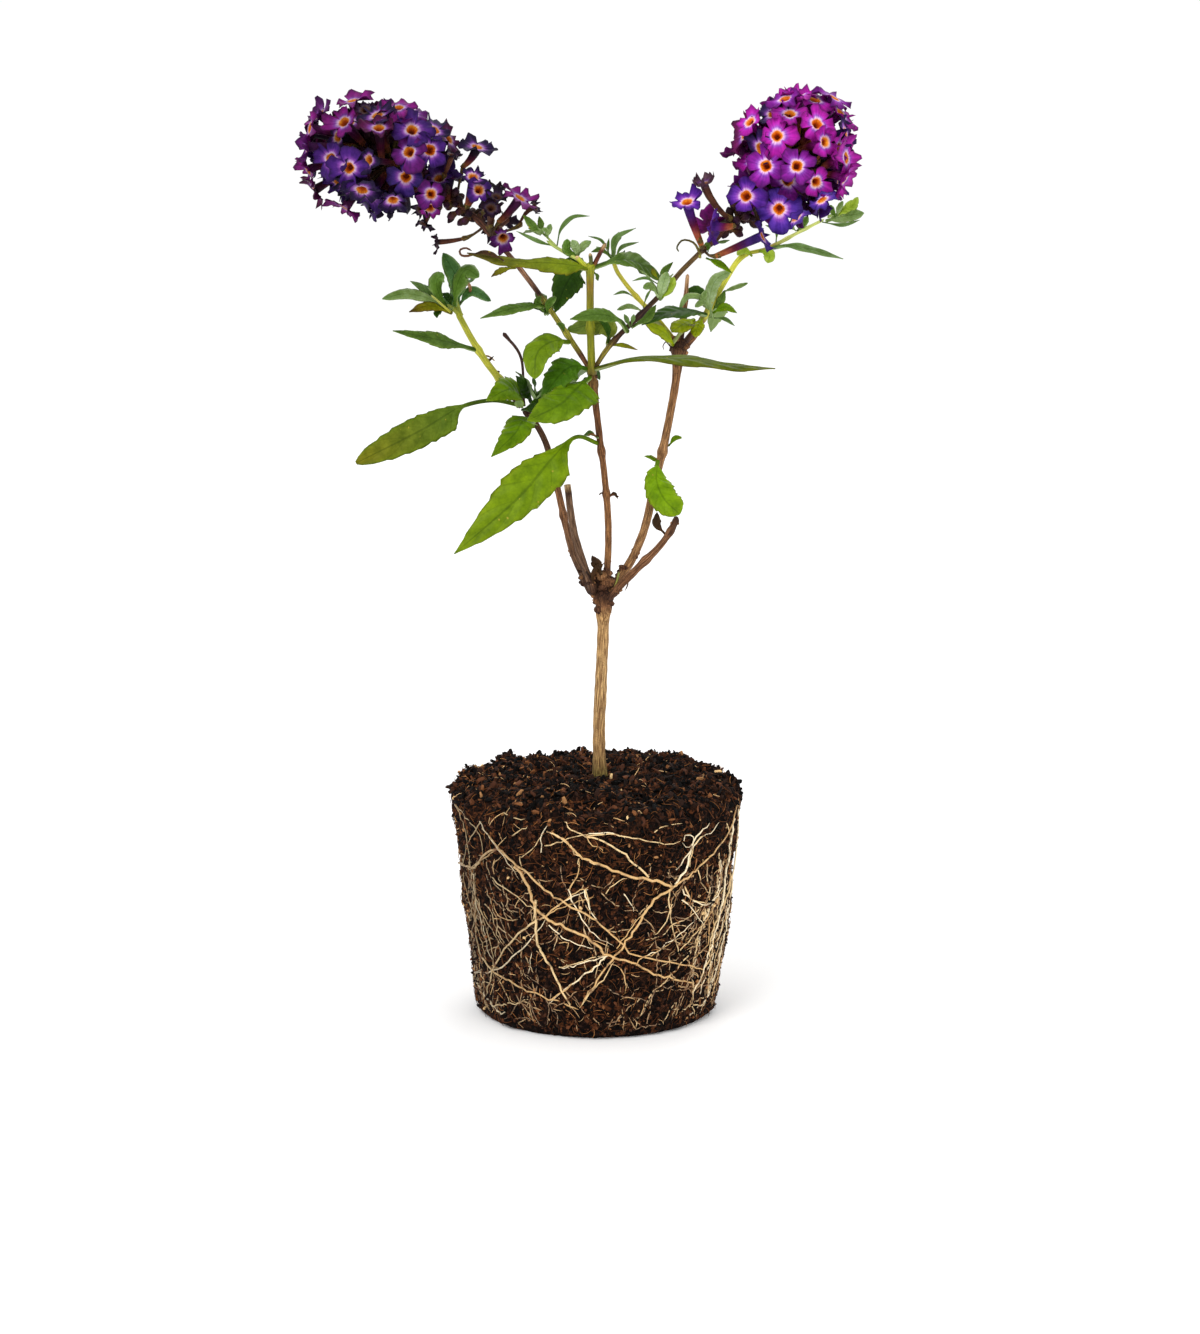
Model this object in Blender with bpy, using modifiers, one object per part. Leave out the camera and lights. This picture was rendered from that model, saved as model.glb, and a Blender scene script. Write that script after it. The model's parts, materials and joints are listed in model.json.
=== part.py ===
"""Young butterfly bush lifted out of its nursery pot: root ball, woody stems, leaves and two flower heads.

The frame is the plant's own: the origin is the centre of the root ball's flat underside, +Z is up
and -Y is the side that the flowers are shown from. Places and sizes are written in millimetres and
made metres by MM. Every stem, leaf and mass of foliage is one closed solid, and a solid that would
run into an earlier one is cut back to leave CLEARANCE between them.
"""

import collections
import math

import bmesh
import bpy
from mathutils import Vector, noise
from mathutils.bvhtree import BVHTree

MM = 0.001

# Driving dimensions
CLEARANCE = 0.3 * MM
FACET_ALLOWANCE = 1.08
ROOT_BALL_HEIGHT = 47.0 * MM
ROOT_BALL_TOP_RADIUS = 29.4 * MM
ROOT_BALL_FOOT_RADIUS = 24.2 * MM
ROOT_BALL_EDGE = 2.6 * MM
ROOT_BALL_SEGMENTS = 24
ROOT_BALL_SIDE_RINGS = 6
ROOT_BALL_ROUGHNESS = 0.9 * MM
ROOT_BALL_LUMP = 8.0 * MM
ROOT_BALL_CROWN = 0.5 * MM
ROOT_BALL_FOOT_EDGE = 1.0 * MM
STEM_SEAT_RADIUS = 3.2 * MM
STEM_OFFSET = Vector((0.8, 0.0, 0.0)) * MM
TRUNK_WIDTH = 2.8 * MM
TRUNK_FLARE = 1.35
TRUNK_FLARE_SHARE = 0.16
TRUNK_TAPER = 0.12
KNUCKLE_WIDTH = 5.6 * MM
KNUCKLE_PLACE = 0.94
KNUCKLE_SPREAD = 0.06
KNOT_SHARE = 0.2
LEAF_THICKNESS = 0.5 * MM
LEAF_FOLD = 0.08
LEAF_STALK_WIDTH = 0.14
LEAF_SKEW = 0.8
LIMB_STEPS = 8
LEAF_STEPS = 8
LEAF_CELLS = 2
TUBE_RESOLUTION = 2
LEAF_MASS_SEGMENTS = 13
FLOWER_MASS_SEGMENTS = 20
MASS_LUMPS = 2.2
WELD = 0.001 * MM

Limb = collections.namedtuple("Limb", "name finish foot tip knot places")
Leaf = collections.namedtuple("Leaf", "name finish width stalk face places")
Mass = collections.namedtuple("Mass", "name finish heart half tilt roughness seed")

# The trunk, from its flat foot on the root ball to the middle of the knuckle where it forks
TRUNK_PLACES = ((0.0, 0.0, 47.3), (-0.2, 0.0, 56.0), (0.2, 0.0, 67.0), (0.6, 0.0, 77.0), (0.7, 0.0, 87.6))

# Limbs: width at the foot and at the tip, how far the tip swells into a knot, and where each one bends
LIMBS = (
    Limb("left_stem", "grey_bark", 2.0, 1.5, 1.5,
         ((-1.6, 1.0, 85.0), (-5.2, 2.5, 92.4), (-7.3, 4.5, 100.2), (-11.0, 9.0, 114.7),
          (-15.5, 11.2, 121.0))),
    Limb("cut_stub", "grey_bark", 1.9, 1.7, 1.0,
         ((-1.4, -1.3, 86.0), (-5.0, -2.0, 97.2), (-6.5, -2.5, 107.7))),
    Limb("middle_stem", "brown_bark", 1.6, 1.4, 1.5,
         ((1.2, -0.6, 86.0), (1.7, -1.5, 96.1), (1.2, -3.0, 106.3), (0.0, -4.0, 116.4),
          (-1.6, -5.0, 129.8))),
    Limb("right_stem", "brown_bark", 1.8, 1.6, 2.4,
         ((1.6, 1.2, 85.0), (8.0, 4.0, 94.2), (11.0, 7.0, 106.5), (13.2, 9.0, 115.5), (15.3, 11.0, 127.0),
          (15.9, 12.0, 134.0))),
    Limb("lower_right_stem", "brown_bark", 1.7, 1.2, 1.2,
         ((2.0, -1.6, 85.0), (8.5, -3.5, 91.8), (12.8, -4.5, 96.6), (15.4, -5.5, 101.5))),
    Limb("left_shoot", "green_stem", 1.2, 0.9, 1.0,
         ((-15.5, 11.2, 121.0), (-20.8, 12.0, 127.4), (-24.4, 13.0, 132.3), (-28.4, 14.4, 139.4),
          (-30.0, 15.0, 143.5))),
    Limb("dead_twig", "grey_bark", 0.9, 1.0, 1.2,
         ((-15.3, 11.6, 121.2), (-15.8, 13.0, 130.7), (-19.4, 14.0, 135.6))),
    Limb("middle_shoot", "green_stem", 1.4, 1.3, 1.3,
         ((-1.6, -5.2, 130.0), (-1.9, -7.0, 140.3), (-1.9, -9.0, 151.2))),
    Limb("left_flower_branch", "brown_bark", 1.1, 1.0, 1.0,
         ((-1.7, -4.9, 130.2), (-5.3, -4.6, 135.6), (-10.8, -3.0, 143.5), (-15.7, -1.0, 149.9),
          (-19.6, 1.0, 154.3), (-25.2, 3.0, 160.1))),
    Limb("right_flower_branch", "brown_bark", 1.1, 1.0, 1.0,
         ((-1.5, -5.4, 130.2), (2.3, -7.0, 135.9), (7.8, -9.0, 141.5), (12.6, -10.0, 146.5),
          (17.4, -11.0, 152.0), (24.5, -12.0, 158.6))),
    Limb("right_dead_stub", "brown_bark", 1.4, 0.7, 1.0,
         ((16.0, 12.0, 133.5), (16.9, 12.6, 140.8), (17.5, 13.0, 147.7))),
    Limb("right_upper_shoot", "green_stem", 1.3, 1.1, 1.4,
         ((16.4, 12.1, 133.2), (20.6, 13.0, 138.5), (23.2, 14.0, 142.8), (27.0, 15.0, 149.3),
          (29.4, 15.5, 151.7))),
    Limb("inner_shoot", "green_stem", 1.1, 0.8, 1.0,
         ((15.3, 11.9, 133.6), (13.0, 12.0, 136.8), (10.0, 11.0, 140.3), (6.4, 8.4, 144.3),
          (2.8, 5.5, 149.6), (2.6, 4.0, 153.4))),
    Limb("top_right_twig", "green_stem", 0.9, 0.6, 1.0,
         ((29.2, 15.5, 151.4), (33.0, 16.0, 152.1), (36.0, 16.5, 153.5), (39.6, 17.0, 155.4),
          (45.6, 18.4, 158.3))),
    Limb("upper_left_twig", "green_stem", 0.8, 0.6, 1.0,
         ((-2.0, -8.8, 150.8), (-5.2, -6.5, 152.6), (-8.4, -5.0, 154.2), (-11.3, -4.0, 156.2))),
)

# Masses that limbs end in: half sizes along X, Y and Z, and the tilt of the long side in degrees
TIP_MASSES = (
    Mass("left_flower_head", "petals", (-42.9, 4.0, 171.3), (16.4, 13.6, 11.8), -14.0, 1.5, 3),
    Mass("left_flower_tail", "petals", (-23.4, 2.6, 161.9), (12.2, 8.4, 8.0), -20.0, 1.1, 5),
    Mass("right_flower_head", "petals", (37.4, -10.0, 172.0), (12.6, 12.8, 12.8), 0.0, 1.4, 8),
    Mass("right_flower_tail", "petals", (24.4, -12.0, 161.6), (11.2, 7.6, 6.8), -10.0, 1.0, 13),
    Mass("left_tip_leaves", "leaf", (-31.8, 14.6, 144.9), (10.2, 7.6, 5.6), 0.0, 0.9, 21),
    Mass("inner_tip_leaves", "leaf", (3.6, 2.6, 155.0), (4.9, 4.8, 3.9), 0.0, 0.6, 34),
    Mass("upper_left_tip_leaves", "leaf", (-12.6, -3.8, 157.6), (3.4, 3.2, 3.4), 40.0, 0.4, 55),
    Mass("right_twig_leaves", "leaf", (48.0, 18.6, 159.4), (4.6, 4.0, 3.4), -16.0, 0.5, 610),
)

# Masses round a fork or a knot, which are cut round the limbs that run through them
FORK_MASSES = (
    Mass("left_fork_leaves", "leaf", (-10.6, -2.8, 143.4), (5.2, 5.6, 3.6), 10.0, 0.6, 89),
    Mass("right_bud_leaves", "leaf", (11.3, -10.6, 147.9), (3.9, 4.0, 3.4), -20.0, 0.4, 144),
    Mass("right_knot_leaves", "leaf", (13.4, 7.2, 137.6), (5.6, 4.4, 2.8), 0.0, 0.5, 233),
    Mass("right_shoot_leaves", "leaf", (23.0, 15.4, 142.6), (4.4, 5.0, 5.2), -20.0, 0.6, 377),
    Mass("centre_inner_leaves", "leaf", (-13.6, 3.4, 127.4), (4.6, 4.8, 4.6), 20.0, 0.6, 987),
)

# Single leaves: width, how much of the length is stalk, the way the upper face looks, and the midrib's places
LEAVES = (
    Leaf("long_left_leaf", "leaf", 6.4, 0.50, (0.1, -0.95, 0.2),
         ((-15.8, 10.8, 121.4), (-21.6, 8.6, 122.7), (-28.2, 5.0, 121.6), (-35.6, 1.0, 117.6),
          (-48.1, -3.0, 111.7))),
    Leaf("lower_left_leaf", "leaf", 9.0, 0.34, (-0.15, -0.95, 0.15),
         ((-0.5, -4.2, 115.8), (-4.7, -8.0, 117.5), (-9.2, -12.0, 114.1), (-15.9, -15.6, 106.6),
          (-28.3, -18.0, 96.0))),
    Leaf("left_shoot_leaf", "leaf", 3.8, 0.15, (0.1, -0.7, 0.7),
         ((-24.4, 13.0, 132.2), (-28.9, 10.0, 133.8), (-33.8, 7.0, 135.3), (-40.9, 3.0, 137.2))),
    Leaf("round_leaf", "leaf", 6.8, 0.10, (-0.35, -0.85, 0.4),
         ((-6.4, -4.4, 137.2), (-9.6, -8.4, 138.2), (-11.6, -12.0, 135.0), (-10.8, -14.4, 130.0))),
    Leaf("bright_leaf", "leaf", 7.6, 0.12, (-0.25, -0.85, 0.45),
         ((-1.9, -5.8, 129.0), (-4.0, -10.0, 127.6), (-7.9, -14.6, 124.6), (-14.1, -17.4, 121.9))),
    Leaf("shaded_leaf", "dark_leaf", 5.4, 0.15, (-0.3, -0.8, 0.5),
         ((-1.9, -5.0, 130.4), (-5.6, -7.0, 131.2), (-8.6, -8.8, 128.8), (-11.5, -10.0, 124.6))),
    Leaf("left_knot_leaf", "leaf", 6.4, 0.12, (-0.2, -0.8, 0.55),
         ((-13.0, 9.8, 118.4), (-15.2, 5.4, 119.0), (-17.0, 0.6, 116.8), (-21.4, -3.4, 113.0))),
    Leaf("left_knot_upper_leaf", "leaf", 5.2, 0.12, (0.0, -0.8, 0.6),
         ((-15.9, 10.6, 121.9), (-17.2, 6.6, 124.4), (-19.0, 2.4, 126.2), (-22.2, -1.4, 125.2))),
    Leaf("middle_back_leaf", "dark_leaf", 5.6, 0.15, (-0.2, 0.3, 0.9),
         ((-1.6, -4.4, 130.0), (-3.2, 1.5, 129.8), (-5.6, 8.0, 127.6), (-8.0, 14.5, 122.5))),
    Leaf("right_long_leaf", "leaf", 5.6, 0.22, (0.03, -0.08, 0.99),
         ((-1.2, -5.6, 130.6), (7.4, -8.6, 133.0), (17.2, -10.6, 132.6), (26.2, -11.6, 130.9),
          (34.0, -11.8, 131.2))),
    Leaf("right_stem_leaf", "leaf", 5.4, 0.12, (0.3, -0.92, 0.2),
         ((11.5, 6.8, 110.8), (11.2, 3.6, 107.4), (12.7, 1.4, 103.9), (15.8, 0.0, 101.0))),
    Leaf("crossing_leaf", "dark_leaf", 4.2, 0.18, (0.0, -0.75, 0.65),
         ((5.4, -8.4, 138.2), (3.7, -11.0, 140.7), (-0.4, -13.0, 142.0), (-5.8, -14.0, 141.2))),
    Leaf("arched_leaf", "yellow_leaf", 4.6, 0.15, (0.1, -0.85, 0.4),
         ((1.5, -6.7, 135.6), (1.7, -5.4, 138.0), (-0.4, -4.6, 139.4), (-6.3, -4.0, 138.0))),
    Leaf("top_left_leaf", "yellow_leaf", 4.8, 0.14, (0.05, -0.75, 0.65),
         ((-2.1, -9.3, 150.4), (-7.7, -11.0, 151.6), (-15.5, -10.4, 152.0), (-25.8, -7.4, 153.4))),
    Leaf("top_right_leaf", "dark_leaf", 5.6, 0.16, (0.1, -0.6, 0.8),
         ((-1.6, -9.0, 150.6), (3.9, -8.6, 152.2), (8.0, -6.2, 151.0), (12.4, -4.4, 147.6))),
    Leaf("hanging_leaf", "dark_leaf", 6.4, 0.12, (-0.1, -0.9, 0.3),
         ((-2.3, -8.2, 150.6), (-4.4, -5.4, 150.2), (-6.8, -4.6, 146.6), (-8.8, -4.8, 141.6))),
    Leaf("curled_left_leaf", "yellow_leaf", 3.0, 0.12, (0.0, -0.6, 0.8),
         ((-11.0, -3.2, 142.6), (-13.7, -5.2, 142.9), (-18.3, -6.8, 142.2), (-23.3, -7.4, 140.7))),
    Leaf("dark_right_leaf", "dark_leaf", 4.4, 0.12, (0.0, -0.55, 0.83),
         ((21.2, 12.8, 139.4), (17.6, 7.4, 140.6), (12.8, 2.4, 140.6), (8.2, -1.2, 138.8))),
    Leaf("right_shoot_back_leaf", "leaf", 5.2, 0.15, (0.1, 0.35, 0.9),
         ((21.4, 13.6, 139.6), (22.8, 18.0, 140.8), (23.4, 23.0, 139.0), (22.6, 28.0, 134.4))),
    Leaf("top_right_twig_leaf", "leaf", 2.4, 0.15, (0.0, -0.6, 0.8),
         ((33.6, 16.1, 152.3), (38.0, 15.6, 152.9), (43.0, 15.8, 151.9), (48.7, 16.4, 150.2))),
    Leaf("withered_leaf", "withered", 1.6, 0.10, (-0.3, -0.9, 0.1),
         ((0.2, -1.8, 89.2), (-0.6, -2.4, 91.0), (-1.6, -2.8, 93.2))),
)

# Finish of each material: sRGB colour, then roughness
FINISHES = {
    "compost": ((52, 36, 26), 0.95),
    "brown_bark": ((134, 98, 66), 0.75),
    "grey_bark": ((108, 86, 68), 0.8),
    "green_stem": ((164, 172, 58), 0.5),
    "leaf": ((98, 142, 44), 0.5),
    "dark_leaf": ((52, 92, 42), 0.5),
    "yellow_leaf": ((152, 160, 40), 0.5),
    "withered": ((58, 40, 30), 0.85),
    "petals": ((128, 50, 158), 0.6),
}


def linear(channel):
    """Linear value of one sRGB channel from 0 to 255."""
    value = channel / 255.0
    return value / 12.92 if value <= 0.04045 else ((value + 0.055) / 1.055) ** 2.4


def clear_scene():
    """Takes out whatever the scene holds before the plant is built."""
    for obj in list(bpy.data.objects):
        bpy.data.objects.remove(obj, do_unlink=True)


def collection_named(name):
    """A collection of this name in the scene."""
    collection = bpy.data.collections.new(name)
    bpy.context.scene.collection.children.link(collection)
    return collection


def make_finishes():
    """One plain Principled material for each finish."""
    finishes = {}
    for name, (colour, roughness) in FINISHES.items():
        material = bpy.data.materials.new(name)
        material.use_nodes = True
        shader = material.node_tree.nodes["Principled BSDF"]
        shader.inputs["Base Color"].default_value = (*(linear(channel) for channel in colour), 1.0)
        shader.inputs["Roughness"].default_value = roughness
        shader.inputs["Metallic"].default_value = 0.0
        finishes[name] = material
    return finishes


def placed(places):
    """The places as vectors in metres, moved with the stem off the middle of the root ball."""
    return [Vector(place) * MM + STEM_OFFSET for place in places]


def smooth_path(places, steps):
    """Points at even steps along a smooth curve that passes through every place."""
    spans = len(places) - 1
    ends = [places[0] * 2 - places[1], *places, places[-1] * 2 - places[-2]]
    points = []
    for step in range(steps + 1):
        along = min(step / steps * spans, spans - 1e-9)
        index = int(along)
        t = along - index
        before, start, end, after = ends[index : index + 4]
        points.append(
            0.5 * (
                start * 2
                + (end - before) * t
                + (before * 2 - start * 5 + end * 4 - after) * t ** 2
                + (start * 3 - before - end * 3 + after) * t ** 3
            )
        )
    return points


def mesh_from(obj):
    """The object's evaluated shape as a plain mesh with its loose caps welded; the object is removed."""
    graph = bpy.context.evaluated_depsgraph_get()
    mesh = bpy.data.meshes.new_from_object(obj.evaluated_get(graph))
    work = bmesh.new()
    work.from_mesh(mesh)
    bmesh.ops.remove_doubles(work, verts=work.verts, dist=WELD)
    bmesh.ops.recalc_face_normals(work, faces=work.faces)
    work.to_mesh(mesh)
    work.free()
    bpy.data.objects.remove(obj, do_unlink=True)
    return mesh


def tube_mesh(name, points, radii):
    """A closed tube along the points, with its own radius at each."""
    curve = bpy.data.curves.new(name, "CURVE")
    curve.dimensions = "3D"
    curve.bevel_depth = 1.0
    curve.bevel_resolution = TUBE_RESOLUTION
    curve.use_fill_caps = True
    spline = curve.splines.new("POLY")
    spline.points.add(len(points) - 1)
    for target, point, radius in zip(spline.points, points, radii):
        target.co = (*point, 1.0)
        target.radius = radius
    guide = bpy.data.objects.new(name, curve)
    bpy.context.scene.collection.objects.link(guide)
    return mesh_from(guide)


def limb_mesh(limb):
    """A tapering stem that swells into a knot at its tip."""
    points = smooth_path(placed(limb.places), LIMB_STEPS)
    radii = []
    for step in range(LIMB_STEPS + 1):
        t = step / LIMB_STEPS
        swell = 1.0 + (limb.knot - 1.0) * max(0.0, 1.0 - (1.0 - t) / KNOT_SHARE) ** 2
        radii.append((limb.foot + (limb.tip - limb.foot) * t) / 2 * MM * swell)
    return tube_mesh(limb.name, points, radii)


def trunk_mesh():
    """The trunk: a flared foot, a slight taper and the swollen knuckle that the stems fork from."""
    points = smooth_path(placed(TRUNK_PLACES), 2 * LIMB_STEPS)
    radii = []
    for step in range(2 * LIMB_STEPS + 1):
        t = step / (2 * LIMB_STEPS)
        flare = 1.0 + (TRUNK_FLARE - 1.0) * max(0.0, 1.0 - t / TRUNK_FLARE_SHARE) ** 2
        knuckle = math.exp(-(((t - KNUCKLE_PLACE) / KNUCKLE_SPREAD) ** 2))
        radius = TRUNK_WIDTH / 2 * (1.0 - TRUNK_TAPER * t) * flare
        radii.append(radius + (KNUCKLE_WIDTH / 2 - radius) * knuckle)
    return tube_mesh("trunk", points, radii)


def root_ball_mesh():
    """The compost held by the roots: a turned plug in the shape of its pot, uneven but flat underneath."""
    top = ROOT_BALL_HEIGHT
    wide = ROOT_BALL_TOP_RADIUS
    narrow = ROOT_BALL_FOOT_RADIUS
    profile = [
        (0.0, top),
        (STEM_SEAT_RADIUS, top),
        (wide / 2, top + ROOT_BALL_CROWN),
        (wide - ROOT_BALL_EDGE, top - ROOT_BALL_CROWN),
    ]
    for step in range(ROOT_BALL_SIDE_RINGS):
        t = step / ROOT_BALL_SIDE_RINGS
        profile.append((wide + (narrow - wide) * t, (top - ROOT_BALL_EDGE) * (1.0 - t)))
    profile += [(narrow, ROOT_BALL_FOOT_EDGE), (narrow - ROOT_BALL_FOOT_EDGE, 0.0), (0.0, 0.0)]
    work = bmesh.new()
    corners = [work.verts.new((radius, 0.0, height)) for radius, height in profile]
    for start, end in zip(corners, corners[1:]):
        work.edges.new((start, end))
    outline = bpy.data.meshes.new("root_ball_outline")
    work.to_mesh(outline)
    work.free()
    guide = bpy.data.objects.new("root_ball_outline", outline)
    bpy.context.scene.collection.objects.link(guide)
    screw = guide.modifiers.new("turn", "SCREW")
    screw.steps = ROOT_BALL_SEGMENTS
    screw.render_steps = ROOT_BALL_SEGMENTS
    screw.use_merge_vertices = True
    screw.merge_threshold = 0.0001
    mesh = mesh_from(guide)
    for vertex in mesh.vertices:
        place = vertex.co.copy()
        radius = math.hypot(place.x, place.y)
        if place.z < ROOT_BALL_FOOT_EDGE / 2 or radius < STEM_SEAT_RADIUS + WELD:
            continue
        outward = Vector((place.x, place.y, 0.0)).normalized()
        vertex.co += outward * noise.noise(place / ROOT_BALL_LUMP) * ROOT_BALL_ROUGHNESS
        if place.z > top - ROOT_BALL_EDGE / 2:
            vertex.co.z += noise.noise(place / ROOT_BALL_LUMP + outward) * ROOT_BALL_ROUGHNESS
    return mesh


def mass_mesh(mass):
    """One uneven closed body of leaves or flowers, swollen from a sphere and roughened by seeded noise."""
    segments = FLOWER_MASS_SEGMENTS if mass.finish == "petals" else LEAF_MASS_SEGMENTS
    work = bmesh.new()
    bmesh.ops.create_uvsphere(work, u_segments=segments, v_segments=segments * 2 // 3, radius=1.0)
    tilt = math.radians(mass.tilt)
    heart = placed([mass.heart])[0]
    for vertex in work.verts:
        away = vertex.co.normalized()
        bump = noise.noise(away * MASS_LUMPS + Vector((mass.seed, 0.0, 0.0))) * mass.roughness * MM
        reach = Vector([half * MM * part for half, part in zip(mass.half, away)]) + away * bump
        turned = Vector((
            reach.x * math.cos(tilt) - reach.z * math.sin(tilt),
            reach.y,
            reach.x * math.sin(tilt) + reach.z * math.cos(tilt),
        ))
        vertex.co = heart + turned
    mesh = bpy.data.meshes.new(mass.name)
    work.to_mesh(mesh)
    work.free()
    return mesh


def blade_share(t, stalk):
    """Half width of a leaf as a share of its greatest, from 0 at the stem to 1 at the tip."""
    if t <= stalk:
        return LEAF_STALK_WIDTH
    along = (t - stalk) / (1.0 - stalk)
    belly = max(0.0, math.sin(math.pi * along ** LEAF_SKEW)) ** LEAF_SKEW
    return LEAF_STALK_WIDTH + (1.0 - LEAF_STALK_WIDTH) * belly


def leaf_mesh(leaf):
    """A thin blade bent along its midrib, with its two halves folded up a little."""
    spine = smooth_path(placed(leaf.places), LEAF_STEPS)
    face = Vector(leaf.face).normalized()
    half = leaf.width / 2 * MM
    work = bmesh.new()
    rows = []
    for step, place in enumerate(spine):
        ahead = spine[min(step + 1, LEAF_STEPS)] - spine[max(step - 1, 0)]
        across = ahead.cross(face).normalized()
        lift = across.cross(ahead).normalized()
        share = blade_share(step / LEAF_STEPS, leaf.stalk)
        row = []
        for cell in range(LEAF_CELLS + 1):
            side = 2.0 * cell / LEAF_CELLS - 1.0
            fold = abs(side) * share * LEAF_FOLD * leaf.width * MM
            row.append(work.verts.new(place + across * side * share * half + lift * fold))
        rows.append(row)
    for lower, upper in zip(rows, rows[1:]):
        for cell in range(LEAF_CELLS):
            work.faces.new((lower[cell], lower[cell + 1], upper[cell + 1], upper[cell]))
    sheet = bpy.data.meshes.new(leaf.name)
    work.to_mesh(sheet)
    work.free()
    guide = bpy.data.objects.new(leaf.name, sheet)
    bpy.context.scene.collection.objects.link(guide)
    wall = guide.modifiers.new("blade", "SOLIDIFY")
    wall.thickness = LEAF_THICKNESS
    wall.offset = 0.0
    return mesh_from(guide)


def swollen(mesh):
    """A copy of the mesh pushed out along its normals by the clearance, to cut its neighbours with."""
    grown = mesh.copy()
    for vertex, normal in zip(grown.vertices, [vertex.normal.copy() for vertex in mesh.vertices]):
        vertex.co = vertex.co + normal * CLEARANCE * FACET_ALLOWANCE
    return grown


def tree_of(mesh):
    """A search tree over the mesh's faces."""
    corners = [vertex.co for vertex in mesh.vertices]
    return BVHTree.FromPolygons(corners, [tuple(face.vertices) for face in mesh.polygons])


def keep_largest_body(mesh):
    """Drops the scraps that a cut leaves beside the main body."""
    work = bmesh.new()
    work.from_mesh(mesh)
    work.verts.ensure_lookup_table()
    unseen = set(work.verts)
    bodies = []
    while unseen:
        body = set()
        edge = [unseen.pop()]
        while edge:
            vertex = edge.pop()
            body.add(vertex)
            for link in vertex.link_edges:
                other = link.other_vert(vertex)
                if other in unseen:
                    unseen.discard(other)
                    edge.append(other)
        bodies.append(body)
    largest = max(bodies, key=spread)
    scraps = [vertex for body in bodies if body is not largest for vertex in body]
    bmesh.ops.delete(work, geom=scraps, context="VERTS")
    work.to_mesh(mesh)
    work.free()


def spread(body):
    """The diagonal of the box that holds these vertices."""
    columns = list(zip(*(vertex.co for vertex in body)))
    return math.hypot(*(max(column) - min(column) for column in columns))


class Plant:
    """Collects the plant's solids, each cut clear of the ones before it."""

    def __init__(self):
        self.parts = collection_named("butterfly_bush")
        self.cutters = collection_named("cutters")
        self.finishes = make_finishes()
        self.earlier = []

    def clear_of_earlier(self, name, mesh):
        """The mesh less the swollen copy of every earlier solid that it runs into."""
        own_tree = tree_of(mesh)
        for other, cutter_mesh, cutter_tree in self.earlier:
            if not own_tree.overlap(cutter_tree):
                continue
            piece = bpy.data.objects.new(name + "_blank", mesh)
            cutter = bpy.data.objects.new(other + "_cutter", cutter_mesh)
            self.parts.objects.link(piece)
            self.cutters.objects.link(cutter)
            cutter.hide_render = True
            cutter.display_type = "WIRE"
            cut = piece.modifiers.new("clearance", "BOOLEAN")
            cut.operation = "DIFFERENCE"
            cut.object = cutter
            cut.solver = "EXACT"
            graph = bpy.context.evaluated_depsgraph_get()
            mesh = bpy.data.meshes.new_from_object(piece.evaluated_get(graph))
            bpy.data.objects.remove(piece, do_unlink=True)
            bpy.data.objects.remove(cutter, do_unlink=True)
            keep_largest_body(mesh)
            own_tree = tree_of(mesh)
        return mesh

    def add(self, name, finish, mesh):
        """One solid of the plant, with its finish."""
        grown = swollen(mesh)
        body = self.clear_of_earlier(name, mesh)
        body.materials.clear()
        body.materials.append(self.finishes[finish])
        body.shade_smooth()
        body.set_sharp_from_angle(angle=math.radians(40.0))
        body.name = name
        obj = bpy.data.objects.new(name, body)
        self.parts.objects.link(obj)
        self.earlier.append((name, grown, tree_of(grown)))
        return obj


def build_plant():
    """Builds from the root ball up: each solid gives way to the ones before it."""
    clear_scene()
    plant = Plant()
    plant.add("root_ball", "compost", root_ball_mesh())
    plant.add("trunk", "brown_bark", trunk_mesh())
    for mass in TIP_MASSES:
        plant.add(mass.name, mass.finish, mass_mesh(mass))
    for limb in LIMBS:
        plant.add(limb.name, limb.finish, limb_mesh(limb))
    for mass in FORK_MASSES:
        plant.add(mass.name, mass.finish, mass_mesh(mass))
    for leaf in LEAVES:
        plant.add(leaf.name, leaf.finish, leaf_mesh(leaf))


build_plant()
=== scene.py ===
# %% [markdown]
# A young butterfly bush stands on the root ball that it was lifted from its pot with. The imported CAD
# model gives every stem, leaf and mass of flowers its place and size. This lesson grows the plant's
# looks on that frame: crumbly compost with a net of roots, fibrous bark, veined leaves and florets.
# The frame comes first, because everything after it is measured from it.

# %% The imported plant
import json
import math
import random
from collections import defaultdict, namedtuple

import bmesh
import bpy
import numpy as np
from mathutils import Matrix, Quaternion, Vector, noise
from mathutils.bvhtree import BVHTree


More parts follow.
